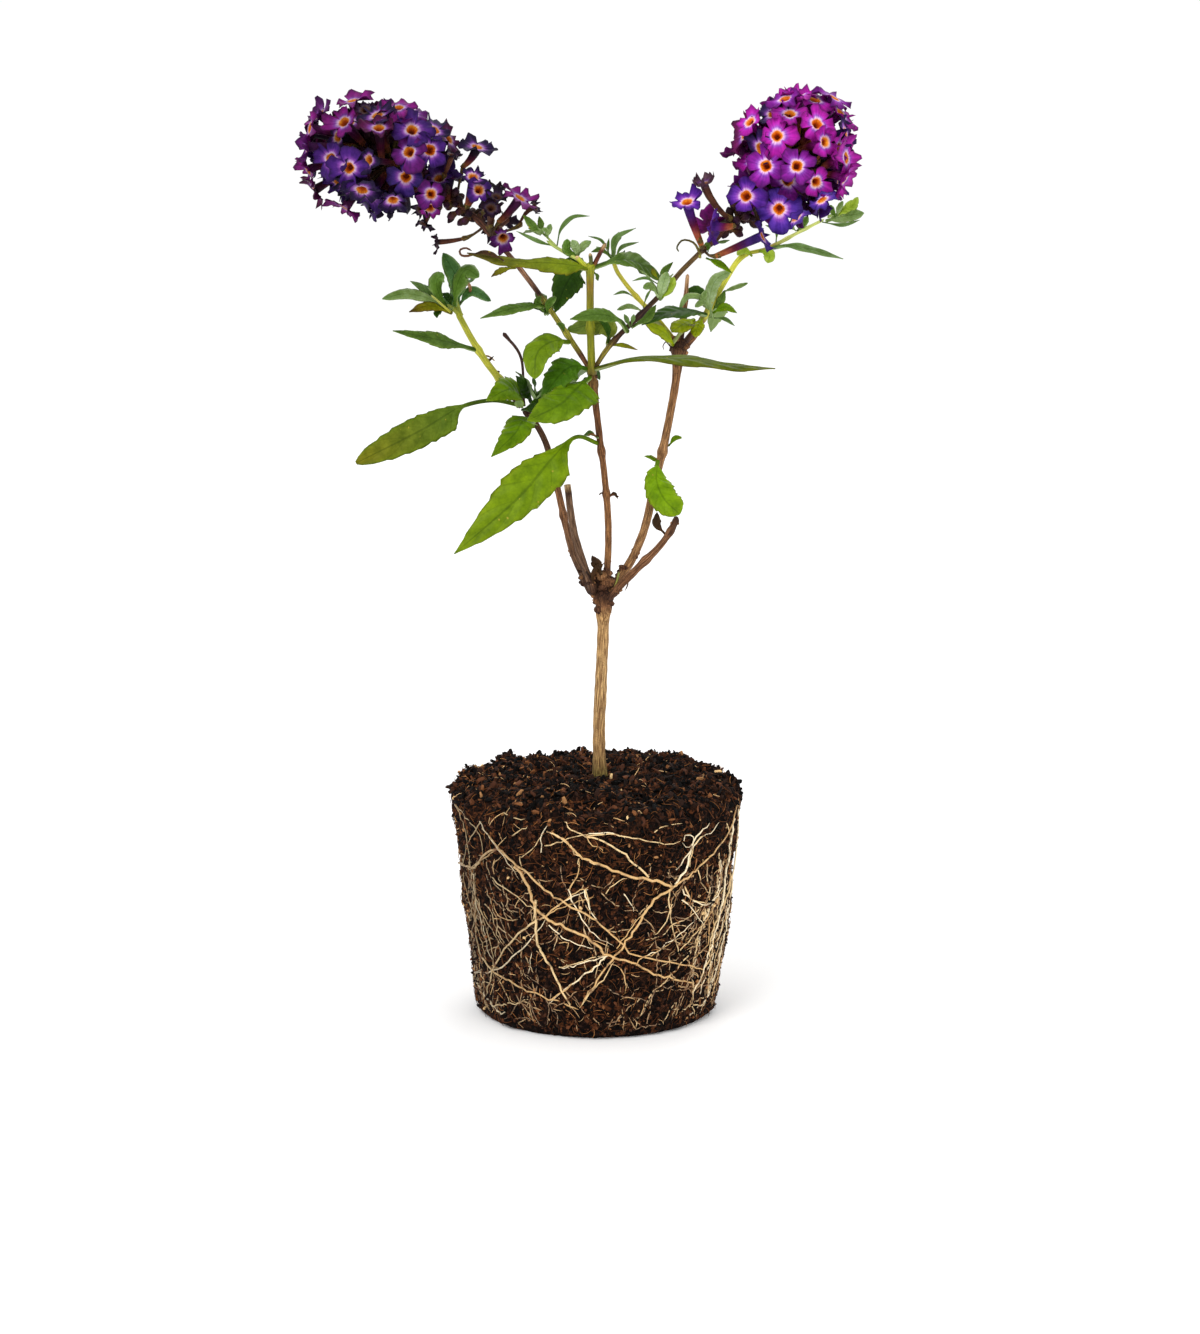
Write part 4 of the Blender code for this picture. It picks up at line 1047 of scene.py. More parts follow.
# %% Small twigs
GREEN_TWIG, BROWN_TWIG = "green_stem", "brown_bark"
TWIGS = (
    (GREEN_TWIG, 1.0, 0.95, -9.2, -9.4, ((0.0, YELLOW_GREEN), (0.8, (150, 172, 40)), (0.92, HAY)), 588, 270,
     582, 263, 576, 256),
    (GREEN_TWIG, 0.8, 0.75, -9.2, -9.6, ((0.0, OLIVE), (0.3, (84, 96, 40)), (0.85, (62, 74, 34)),
     (0.95, HAY)), 590, 270, 591, 262, 590, 253),
    (BROWN_TWIG, 1.0, 0.75, -9.0, -8.4, ((0.0, OLIVE), (0.3, RUST), (0.7, (84, 46, 34)), (0.93, HAY)),
     592, 270, 598, 257, 606, 243),
    (GREEN_TWIG, 0.6, 0.4, 13.0, 10.6, fade(YELLOW_GREEN, (186, 196, 104)), 450, 312, 440, 303, 431, 295),
    (GREEN_TWIG, 0.9, 0.6, 14.6, 14.0, fade(YELLOW_GREEN, (120, 140, 50)), 453, 311, 455, 303, 457, 296),
    (BROWN_TWIG, 0.7, 0.35, 14.4, 15.2, ((0.0, (96, 84, 40)), (0.6, DARK_BROWN), (1.0, PURPLE_BROWN)),
     456, 308, 464, 299, 470, 293),
    (BROWN_TWIG, 0.55, 0.75, 15.0, 15.4, ((0.0, RUST), (0.4, (206, 158, 116)), (1.0, (226, 186, 146))),
     470, 292, 470, 287, 467, 282),
    (GREEN_TWIG, 0.5, 0.3, -4.0, -3.4, fade((170, 190, 96), (110, 146, 70)), 557, 247, 547, 237, 537, 227),
    (GREEN_TWIG, 0.55, 0.45, -12.0, -10.4, fade((140, 140, 60), (196, 206, 130)), 700, 258, 700, 248,
     699, 241),
    (BROWN_TWIG, 0.5, 0.3, -12.2, -14.0, fade(OLIVE, (84, 92, 56)), 700, 254, 694, 243, 683, 240, 677, 247,
     679, 252),
    (BROWN_TWIG, 0.3, 0.14, 12.0, 9.0, fade(DARK_BROWN, PURPLE_BROWN), 670, 346, 666, 342, 663, 346,
     664, 350),
    (BROWN_TWIG, 0.9, 0.5, 12.0, 11.0, fade(BROWN, DARK_BROWN), 676, 350, 671, 343, 666, 334),
    (BROWN_TWIG, 0.5, 0.25, 1.0, 3.4, fade(DARK_BROWN, (96, 70, 50)), 612, 588, 618, 580, 624, 577,
     628, 583, 625, 591),
    (GREEN_TWIG, 0.5, 0.35, -1.6, -2.6, fade(OLIVE, (120, 140, 60)), 614, 590, 617, 581, 619, 572),
    (BROWN_TWIG, 0.7, 0.3, -1.4, -3.2, fade(DARK_BROWN, (44, 30, 24)), 596, 588, 590, 578, 586, 571),
    (BROWN_TWIG, 0.45, 0.25, 14.0, 13.2, fade(DARK_BROWN, HAY), 480, 357, 488, 356, 495, 361),
    (GREEN_TWIG, 1.3, 0.9, 14.9, 13.8, fade((140, 150, 40), (120, 140, 60)), 461, 316, 455, 310, 446, 305),
    (GREEN_TWIG, 1.2, 0.8, 14.8, 13.8, fade((140, 150, 40), (110, 140, 70)), 460, 315, 457, 304, 456, 292),
    (BROWN_TWIG, 0.5, 0.4, -7.2, -7.6, fade((116, 80, 50), (84, 54, 44)), 474, 254, 467, 256, 461, 255,
     460, 250, 466, 248, 472, 251),
    (BROWN_TWIG, 0.4, 0.2, 1.4, 0.4, fade(DARK_BROWN, HAY), 543, 409, 551, 408, 556, 403),
    (BROWN_TWIG, 2.2, 1.5, 12.6, 13.4, fade(DARK_BROWN, (150, 108, 70)), 679, 354, 684, 346, 693, 336,
     703, 322),
    (BROWN_TWIG, 1.9, 1.0, 12.4, 11.4, fade(DARK_BROWN, (170, 128, 84)), 680, 354, 675, 345, 670, 336),
    (BROWN_TWIG, 0.4, 0.3, -2.6, -4.2, fade(BROWN, RUST), 607, 498, 613, 495, 619, 497),
    (BROWN_TWIG, 0.4, 0.25, -2.6, -3.8, fade(BROWN, DARK_BROWN), 606, 497, 602, 493, 599, 495),
    (BROWN_TWIG, 0.5, 0.3, -4.6, -6.0, fade(BROWN, (150, 110, 60)), 598, 438, 592, 434, 588, 436),
    (GREEN_TWIG, 0.4, 0.3, 8.6, 6.6, fade(OLIVE, (130, 150, 70)), 661, 462, 655, 458, 650, 455),
    (GREEN_TWIG, 0.45, 0.3, 9.4, 8.0, fade(OLIVE, (120, 150, 70)), 668, 446, 675, 440, 682, 438),
)
TWIG_STEPS, TWIG_SIDES, TWIG_RIDGE, TWIG_SEED = 12, 8, 0.08, 50.0


def line_seen(numbers, depth_from, depth_to):
    """Places along a line drawn on the photograph, given as x and y by turns, from one depth to another."""
    pixels = np.reshape(numbers, (-1, 2)).tolist()
    depths = np.linspace(depth_from, depth_to, len(pixels))
    return [seen_at(px, py, depth) for (px, py), depth in zip(pixels, depths)]


for number, (slot, thick, thin, depth_from, depth_to, skin, *numbers) in enumerate(TWIGS):
    line = resampled(line_seen(numbers, depth_from, depth_to), TWIG_STEPS)
    radii = np.linspace(thick, thin, TWIG_STEPS) / 2 * MM
    lay_stem(stem_baskets[slot], line, radii, TWIG_SIDES, TWIG_RIDGE, skin, seed=TWIG_SEED + number)
print("small twigs:", len(TWIGS))

# %% [markdown]
# The knuckle and the old leaf nodes carry scars: small lumps of dark, corky bark. Each is a dented ball
# sunk halfway into the wood, dealt round the fork and the knots by a seeded draw.

# %% Scars
SCAR_SPOTS = (
    ("trunk", 0.92, 12, 1.3, 1.9), ("trunk", 1.0, 22, 1.2, 2.4), ("left_stem", 0.12, 5, 0.8, 1.3),
    ("cut_stub", 0.08, 4, 0.7, 1.3), ("right_stem", 0.06, 5, 0.8, 1.4), ("right_stem", 1.0, 22, 0.9, 1.7),
    ("middle_stem", 0.05, 4, 0.7, 1.0), ("lower_right_stem", 0.95, 6, 0.6, 1.0),
    ("left_stem", 0.96, 6, 0.6, 1.0), ("middle_stem", 1.0, 12, 0.6, 1.1), ("left_stem", 0.2, 5, 0.7, 1.0),
    ("left_stem", 0.05, 12, 0.8, 1.5), ("cut_stub", 0.05, 8, 0.8, 1.4),
    ("lower_right_stem", 0.05, 9, 0.7, 1.3), ("right_stem", 0.04, 8, 0.7, 1.3),
    ("left_shoot", 0.34, 4, 0.5, 0.8), ("middle_stem", 0.62, 5, 0.4, 0.8),
    ("right_stem", 0.52, 5, 0.5, 0.8), ("right_stem", 0.14, 4, 0.6, 1.0),
)
SCAR_FLATNESS, SCAR_OUT = 0.9, 0.75
SCAR_SHADES = (DARK_BROWN, (88, 60, 42), (150, 112, 76), BROWN)
scar_chance = random.Random(17)
for node, share, count, small, large in SCAR_SPOTS:
    spot = resampled(stem_rows[node], 101)[int(share * 100)]
    for _ in range(count):
        away = Vector([scar_chance.gauss(0.0, 1.0) for _ in range(3)]).normalized()
        size = scar_chance.uniform(small, large) * MM
        along = scar_chance.uniform(-1.0, 1.0) * spot[3]
        lump = crumb_mesh("scar", scar_chance.randint(0, 99), SCAR_FLATNESS, 2)
        heart = Vector(spot[:3]) + away * spot[3] * SCAR_OUT + Vector((0.0, 0.0, along))
        points = [heart + vertex.co * size for vertex in lump.vertices]
        shade = srgb(*scar_chance.choice(SCAR_SHADES))
        basket = stem_baskets["grey_bark" if SLOT_OF[node] == "grey_bark" else "brown_bark"]
        basket.add(points, [tuple(face.vertices) for face in lump.polygons], skin=[shade], grain=points)
        bpy.data.meshes.remove(lump)
for slot, basket in stem_baskets.items():
    nodes = [stem.node for stem in STEMS if SLOT_OF[stem.node] == slot]
    hand_over(basket.piece(GREEN_SKIN if slot == "green_stem" else BARK), slot, *nodes)

# %% [markdown]
# A leaf is one closed sheet with a stalk: rows of points from foot to tip, over the top from one edge to
# the other and back underneath. The outline bulges like the CAD leaf's, with coarse forward-pointing
# teeth; the blade folds a little at the midrib, ripples at its edges and puckers between its veins.

# %% Leaf shapes
STALK_HALF, STALK_SHARE, STALK_TAPER = 0.42 * MM, 0.14, 0.75
BLADE_HALF_THICK, STALK_HALF_THICK = 0.09 * MM, 0.36 * MM
FOLD, RIPPLE, PUCKER = 0.08, 0.10, 0.045
UNEVEN_TEETH = 23.0
RIPPLES, RISES, UNEVEN, AT_EDGE = (2.0, 3.5), (0.85, 1.15), 0.5, 0.99
STALK_THINS, RIB_SHARE = 5.0, 0.5
TIP_POWER, EDGE_POWER, BLADE_LIGHT = 2.2, 6, (0.9, 1.1)
VEIN_SLOPE = 1.15
STEM_OFFSET = np.array((0.8, 0.0, 0.0))
SHAPES = {
    "wedge": ((0.0, 0.08, 0.08), (0.1, 0.1, 0.2), (0.22, 0.24, 0.5), (0.34, 0.5, 1.08), (0.46, 0.84, 0.98),
     (0.62, 1.04, 0.86), (0.78, 0.74, 0.62), (0.9, 0.36, 0.34), (1.0, 0.0, 0.0)),
    "spatula": ((0.0, 0.1, 0.1), (0.08, 0.16, 0.2), (0.18, 0.34, 0.62), (0.27, 0.5, 1.08),
     (0.42, 0.74, 1.04), (0.6, 0.92, 0.98), (0.75, 0.84, 0.86), (0.9, 0.58, 0.54), (0.97, 0.3, 0.3),
     (1.0, 0.1, 0.1)),
    "plump": ((0.0, 0.1, 0.1), (0.1, 0.5, 0.6), (0.28, 0.84, 0.96), (0.55, 1.0, 1.0), (0.75, 0.92, 0.98),
     (0.88, 0.66, 0.84), (0.96, 0.34, 0.5), (1.0, 0.06, 0.1)),
    "drooped": ((0.0, 0.1, 0.1), (0.06, 0.3, 0.5), (0.16, 0.6, 1.1), (0.3, 0.86, 1.26), (0.5, 1.0, 1.1),
     (0.7, 0.84, 0.78), (0.86, 0.46, 0.42), (1.0, 0.02, 0.02)),
    "tailed": ((0.0, 0.1, 0.1), (0.08, 0.46, 0.5), (0.22, 0.8, 1.1), (0.36, 0.72, 1.0), (0.5, 0.56, 0.7),
     (0.62, 0.4, 0.62), (0.78, 0.34, 0.66), (0.9, 0.26, 0.34), (1.0, 0.05, 0.05)),
    "oval": ((0.0, 0.1, 0.1), (0.1, 0.5, 0.56), (0.28, 0.9, 0.94), (0.5, 1.0, 1.0), (0.7, 0.94, 0.9),
     (0.86, 0.66, 0.64), (0.95, 0.36, 0.34), (1.0, 0.05, 0.05)),
    "lance": ((0.0, 0.1, 0.1), (0.15, 0.42, 0.46), (0.35, 0.88, 0.92), (0.52, 1.0, 1.0), (0.7, 0.8, 0.78),
     (0.86, 0.46, 0.44), (1.0, 0.03, 0.03)),
    "ovate": ((0.0, 0.1, 0.1), (0.1, 0.48, 0.54), (0.25, 0.9, 0.96), (0.4, 1.0, 1.0), (0.6, 0.88, 0.84),
     (0.8, 0.54, 0.5), (0.93, 0.22, 0.22), (1.0, 0.02, 0.02)),
}
SHAPE_STEPS = 60
Look = namedtuple("Look", "shape body tip edge teeth depth veins curl")
LOOKS = {
    "bright": Look("wedge", (112, 140, 6), (114, 136, 14), (130, 150, 20), 11, 0.065, 6, 0.10),
    "fresh": Look("ovate", (96, 132, 4), (104, 132, 10), (128, 150, 24), 9, 0.07, 6, 0.16),
    "lush": Look("drooped", (94, 128, 6), (102, 128, 10), (122, 146, 24), 10, 0.06, 6, 0.2),
    "plump": Look("plump", (116, 152, 8), (120, 150, 14), (146, 168, 34), 9, 0.06, 6, 0.16),
    "round": Look("oval", (110, 138, 16), (114, 140, 18), (136, 160, 40), 6, 0.03, 5, 0.2),
    "grey": Look("spatula", (92, 116, 32), (120, 116, 18), (110, 130, 26), 10, 0.06, 6, 0.08),
    "long": Look("lance", (90, 106, 18), (96, 104, 20), (104, 100, 26), 7, 0.05, 6, 0.3),
    "dusky": Look("lance", (84, 112, 46), (76, 102, 36), (122, 146, 70), 8, 0.06, 7, 0.14),
    "dark": Look("ovate", (46, 78, 12), (42, 72, 12), (74, 104, 32), 8, 0.07, 6, 0.16),
    "arch": Look("oval", (128, 140, 50), (92, 114, 48), (152, 158, 84), 5, 0.05, 5, 0.3),
    "shade": Look("ovate", (66, 104, 14), (60, 98, 14), (92, 124, 36), 8, 0.07, 6, 0.16),
    "sunny": Look("oval", (168, 184, 18), (150, 160, 20), (150, 150, 24), 6, 0.05, 5, 0.2),
    "blue": Look("oval", (84, 126, 74), (74, 112, 66), (142, 172, 116), 6, 0.04, 6, 0.22),
    "old": Look("lance", (126, 134, 14), (112, 82, 26), (108, 108, 14), 8, 0.06, 7, 0.20),
    "ageing": Look("tailed", (122, 138, 22), (84, 56, 30), (120, 116, 22), 8, 0.09, 7, 0.3),
    "pale": Look("oval", (138, 160, 106), (112, 140, 82), (168, 186, 136), 4, 0.04, 5, 0.26),
    "silver": Look("oval", (158, 178, 134), (126, 152, 100), (184, 200, 160), 4, 0.04, 6, 0.3),
    "slim": Look("lance", (98, 126, 70), (116, 142, 92), (132, 156, 104), 0, 0.0, 5, 0.15),
    "lime": Look("oval", (142, 166, 46), (160, 182, 70), (178, 196, 96), 3, 0.04, 4, 0.3),
    "cup": Look("oval", (88, 120, 40), (92, 126, 58), (150, 176, 112), 5, 0.05, 5, 0.5),
    "torn": Look("lance", (128, 128, 14), (74, 36, 16), (112, 84, 22), 4, 0.14, 5, 0.2),
    "dry": Look("lance", (70, 46, 30), (36, 24, 16), (92, 62, 36), 3, 0.1, 4, 0.5),
}
Leaf = namedtuple("Leaf", "node look width stalk face places")
LARGE_LEAVES = (
    ("long_left_leaf", "grey", 6.6, 0.44, (0.1, -0.95, 0.2), (-15.8, 10.8, 121.4), (-21.6, 8.6, 122.7),
     (-28.2, 5.0, 121.6), (-35.6, 1.0, 117.6), (-48.1, -3.0, 111.7)),
    ("lower_left_leaf", "bright", 9.2, 0.29, (-0.15, -0.95, 0.15), (-0.5, -4.2, 115.8), (-4.7, -8.0, 117.5),
     (-9.2, -12.0, 114.1), (-15.9, -15.6, 106.6), (-28.3, -18.0, 96.0)),
    ("left_shoot_leaf", "dusky", 3.8, 0.15, (0.1, -0.7, 0.7), (-24.4, 13.0, 132.2), (-28.9, 10.0, 133.8),
     (-33.8, 7.0, 135.3), (-40.9, 3.0, 137.2)),
    ("round_leaf", "round", 5.8, 0.12, (-0.3, -0.85, 0.4), (-6.0, -4.8, 135.8), (-9.4, -8.2, 136.2),
     (-12.2, -11.2, 134.2), (-12.6, -13.6, 129.6)),
    ("bright_leaf", "lush", 8.6, 0.16, (-0.25, -0.85, 0.45), (-1.9, -5.8, 129.0), (-4.6, -10.0, 127.2),
     (-7.9, -14.6, 124.6), (-14.1, -17.4, 121.9)),
    ("shaded_leaf", "shade", 6.4, 0.15, (-0.3, -0.8, 0.5), (-1.9, -5.0, 130.4), (-5.6, -7.0, 131.2),
     (-8.6, -8.8, 128.8), (-11.5, -10.0, 124.6)),
    ("left_knot_leaf", "fresh", 6.4, 0.12, (-0.2, -0.8, 0.55), (-13.0, 9.8, 118.4), (-15.2, 5.4, 119.0),
     (-17.0, 0.6, 116.8), (-21.4, -3.4, 113.0)),
    ("left_knot_upper_leaf", "fresh", 7.0, 0.1, (0.0, -0.85, 0.5), (-15.9, 10.6, 121.9),
     (-16.4, 6.6, 124.4), (-18.2, 2.4, 125.6), (-22.4, -1.4, 123.9)),
    ("middle_back_leaf", "dark", 5.6, 0.15, (-0.2, 0.3, 0.9), (-1.6, -4.4, 130.0), (-3.2, 1.5, 129.8),
     (-5.6, 8.0, 127.6), (-8.0, 14.5, 122.5)),
    ("right_long_leaf", "long", 4.8, 0.08, (0.03, -0.3, 0.95), (-1.2, -5.6, 130.6), (7.4, -8.6, 133.0),
     (17.2, -10.6, 133.0), (26.2, -11.6, 131.8), (34.0, -11.8, 131.4)),
    ("right_stem_leaf", "plump", 6.0, 0.1, (0.3, -0.92, 0.2), (11.5, 6.8, 110.8), (11.2, 3.6, 107.4),
     (12.7, 1.4, 103.9), (15.8, 0.0, 101.0)),
    ("crossing_leaf", "dusky", 3.4, 0.3, (0.0, -0.75, 0.65), (5.4, -8.4, 138.2), (3.7, -11.0, 140.7),
     (-0.4, -13.0, 142.0), (-5.8, -14.0, 141.2)),
    ("arched_leaf", "arch", 4.6, 0.15, (0.1, -0.85, 0.4), (1.5, -6.7, 135.6), (1.7, -5.4, 138.0),
     (-0.4, -4.6, 139.4), (-6.3, -4.0, 138.0)),
    ("top_left_leaf", "ageing", 4.4, 0.08, (0.05, -0.75, 0.65), (-2.1, -9.3, 150.4), (-7.7, -11.0, 151.6),
     (-15.5, -10.4, 152.0), (-25.8, -7.4, 153.4)),
    ("top_right_leaf", "dusky", 5.6, 0.16, (0.1, -0.6, 0.8), (-1.6, -9.0, 150.6), (3.9, -8.6, 152.2),
     (8.0, -6.2, 151.0), (12.4, -4.4, 147.6)),
    ("hanging_leaf", "dark", 6.4, 0.12, (-0.1, -0.9, 0.3), (-2.3, -8.2, 150.6), (-4.4, -5.4, 150.2),
     (-6.8, -4.6, 146.6), (-8.8, -4.8, 141.6)),
    ("curled_left_leaf", "dusky", 3.0, 0.12, (0.0, -0.6, 0.8), (-11.0, -3.2, 142.6), (-13.7, -5.2, 142.9),
     (-18.3, -6.8, 142.2), (-23.3, -7.4, 140.7)),
    ("dark_right_leaf", "dark", 4.4, 0.12, (0.0, -0.55, 0.83), (21.2, 12.8, 139.4), (17.6, 7.4, 140.6),
     (12.8, 2.4, 140.6), (8.2, -1.2, 138.8)),
    ("right_shoot_back_leaf", "fresh", 5.2, 0.15, (0.1, 0.35, 0.9), (21.4, 13.6, 139.6),
     (22.8, 18.0, 140.8), (23.4, 23.0, 139.0), (22.6, 28.0, 134.4)),
    ("top_right_twig_leaf", "slim", 2.4, 0.15, (0.0, -0.6, 0.8), (33.6, 16.1, 152.3), (38.0, 15.6, 152.9),
     (43.0, 15.8, 151.9), (48.7, 16.4, 150.2)),
    ("withered_leaf", "dry", 2.3, 0.1, (-0.3, -0.9, 0.1), (0.2, -1.8, 89.2), (-0.6, -2.4, 91.0),
     (-1.6, -2.8, 93.2)),
)
LEAVES = [Leaf(*row[:5], row[5:]) for row in LARGE_LEAVES]


def blade_shares(shape, along):
    """Half widths left and right of the midrib, as shares of the greatest, along the blade."""
    table = resampled(SHAPES[shape], SHAPE_STEPS)
    return [np.maximum(0.0, np.interp(along, table[:, 0], table[:, side])) for side in (1, 2)]


def column(values):
    """One value a row, ready to meet one value a cell across the blade."""
    return np.asarray(values)[:, None]


def blade_section(look, width, along, u, draw):
    """For each row and cell: how wide the blade is, how high it rises, and half its thickness."""
    left, right = blade_shares(look.shape, along)
    half = width / 2 * np.maximum(left, right) * (along > 0.0)
    stem_half = min(STALK_HALF, width * STALK_SHARE) * (1.0 - STALK_TAPER * along)
    saw, other_saw = [(along * look.teeth + draw.random()) % 1.0 for _ in range(2)]
    ripple_turn, ripple_count = draw.uniform(0.0, math.tau), draw.uniform(*RIPPLES)
    reach = np.abs(u)
    edges = np.where(u < 0.0, column(saw), column(other_saw)) - 0.5
    uneven = 1.0 + UNEVEN * column(np.sin(along * UNEVEN_TEETH + ripple_turn))
    toothed = 1.0 + look.depth * 2.0 * edges * uneven * (reach > AT_EDGE)
    ends = width / 2 * np.where(u > 0.0, column(left), column(right)) * column(along > 0.0)
    wide = np.maximum(ends, column(stem_half)) * toothed * u
    phase = column(along) * look.veins - VEIN_SLOPE * reach
    pucker = -PUCKER * np.cos(math.tau * phase) * reach * (1.0 - reach) * 4.0
    wave = column(np.sin(ripple_count * math.tau * np.linspace(0.0, 1.0, len(along)) + ripple_turn))
    ripple = RIPPLE * wave * reach ** 2 * np.sign(u + 1e-9)
    bend = FOLD * 2.0 * reach - look.curl * reach ** 2 + ripple + pucker
    rise = bend * column(half) * draw.uniform(*RISES)
    stalk_like = np.clip(1.0 - along * STALK_THINS, 0.0, 1.0)
    thick = BLADE_HALF_THICK + (STALK_HALF_THICK - BLADE_HALF_THICK) * stalk_like
    thick = column(np.minimum(thick, np.maximum(half, stem_half)))
    rib = RIB_SHARE * column(stem_half) * np.exp(-(wide / np.maximum(column(stem_half), 1e-9)) ** 2)
    return wide, rise, thick * np.sqrt(np.maximum(0.0, 1.0 - reach ** 4)), rib


def blade_tint(look, along, ring_u, draw):
    """The blade's own green, turning to the tip's along it and to the edge's at its rim."""
    body, tip, edge = np.array([srgb(*colour) for colour in (look.body, look.tip, look.edge)])
    toward_tip = (along ** TIP_POWER)[:, None, None]
    margin = (np.abs(ring_u) ** EDGE_POWER)[None, :, None]
    tint = body * (1.0 - toward_tip) + tip * toward_tip
    return (tint * (1.0 - margin) + edge * margin) * draw.uniform(*BLADE_LIGHT)


def lay_leaf(basket, places, width, stalk, face, look, rows, cells, seed):
    """One closed toothed blade on its stalk, along places in metres."""
    draw = random.Random(seed)
    spine = resampled(places, rows)
    ahead = unit(np.gradient(spine, axis=0))
    across = unit(np.cross(ahead, np.array(face, float)))
    lift = np.cross(across, ahead)
    along = np.clip((np.linspace(0.0, 1.0, rows) - stalk) / (1.0 - stalk), 0.0, 1.0)
    u = np.linspace(-1.0, 1.0, cells + 1)
    wide, rise, thick, rib = blade_section(look, width, along, u, draw)
    middle = column(spine) + column(across) * wide[..., None]
    top = middle + column(lift) * (rise + thick)[..., None]
    under = middle + column(lift) * (rise - thick - rib)[..., None]
    ring = np.concatenate([top, under[:, -2:0:-1]], axis=1)
    ring_u = np.concatenate([u, u[-2:0:-1]])
    sides = 2 * cells
    tint = blade_tint(look, along, ring_u, draw)
    blade = np.empty((rows, sides, 3))
    blade[..., 0] = ring_u
    blade[..., 1] = column(along * look.veins)
    blade[..., 2] = column(along <= 0.0)
    faces = tube_faces(rows, sides)
    finish = [0 if face[0] % sides < cells else 1 for face in faces[:-2]] + [1, 1]
    basket.add(ring.reshape(-1, 3), faces, finish, tint=tint.reshape(-1, 3), blade=blade.reshape(-1, 3))


# %% [markdown]
# The blade carries two notes: its tint, and where on the leaf each point is. From the second the finish
# draws the midrib and the side veins that slant away from it. The upper face is glossier and greener,
# the lower one pale and downy, with raised veins.

# %% Leaf finish


def leaf_finish(name, roughness, vein_colour, vein_mode, vein_strength, pale):
    """Tinted blade with a midrib, slanting veins, uneven green and a few brown flecks."""
    material, tree, shader = new_finish(name, roughness)
    blade = add_node(tree, "ShaderNodeSeparateXYZ", {"Vector": note(tree, "blade", "Vector")}).outputs
    reach = arithmetic(tree, "ABSOLUTE", blade["X"])
    gap = arithmetic(tree, "PINGPONG", arithmetic(tree, "MULTIPLY_ADD", reach, -VEIN_SLOPE, blade["Y"]), 0.5)
    side_vein = arithmetic(tree, "MULTIPLY", stretched(tree, gap, 0.07, 0.0), 0.55)
    vein = arithmetic(tree, "MAXIMUM", side_vein, stretched(tree, reach, 0.09, 0.03))
    lined = arithmetic(tree, "MAXIMUM", vein, blade["Z"])
    place = object_place(tree)
    tint = note(tree, "tint")
    patchy = mixed(tree, stretched(tree, noise_of(tree, place, 2.2 * MM), 0.3, 0.7),
                   mixed(tree, 1.0, tint, srgb(196, 206, 168), "MULTIPLY"), tint)
    mottled = mixed(tree, stretched(tree, noise_of(tree, place, 0.5 * MM), 0.35, 0.65), patchy,
                    mixed(tree, 0.5, patchy, srgb(150, 150, 96), "SOFT_LIGHT"))
    body = mixed(tree, pale, mottled, srgb(186, 204, 158))
    share = arithmetic(tree, "MULTIPLY", lined, vein_strength)
    veined = mixed(tree, share, body, mixed(tree, 1.0, body, vein_colour, vein_mode))
    fleck = stretched(tree, noise_of(tree, place, 0.8 * MM, 1.0), 0.74, 0.82)
    colour = mixed(tree, fleck, veined, srgb(150, 138, 44))
    dress(tree, shader, colour, 0.07, arithmetic(tree, "MULTIPLY", gap, 2.0), 0.12 * MM, 0.6)
    return material


LEAF_TOP = leaf_finish("leaf_top", 0.45, srgb(150, 164, 96), "MULTIPLY", 0.5, 0.0)
LEAF_UNDER = leaf_finish("leaf_under", 0.65, srgb(120, 130, 90), "SCREEN", 0.35, 0.24)
LEAF_ROWS, LEAF_CELLS = 64, 12
leaf_slots = ("leaf", "dark_leaf", "yellow_leaf", "withered")
leaf_baskets = {slot: Basket(slot + "_blades") for slot in leaf_slots}
for number, leaf in enumerate(LEAVES):
    places = (np.array(leaf.places) + STEM_OFFSET) * MM
    lay_leaf(leaf_baskets[SLOT_OF[leaf.node]], places, leaf.width * MM, leaf.stalk, leaf.face,
             LOOKS[leaf.look], LEAF_ROWS, LEAF_CELLS, number)
for slot, basket in leaf_baskets.items():
    nodes = [leaf.node for leaf in LEAVES if SLOT_OF[leaf.node] == slot]
    hand_over(basket.piece(LEAF_TOP, LEAF_UNDER), slot, *nodes)

# %% [markdown]
# The shoot tips carry clusters of small young leaves. Those that show in the photograph are drawn from
# foot to tip by their pixels; behind them, where the photograph sees nothing, more grow by a seeded
# rule from the same node toward the back of the mass that the CAD gives the cluster. A row gives the
# look, half the width in pixels, the depth at foot and tip, and the pixels as x and y by turns.

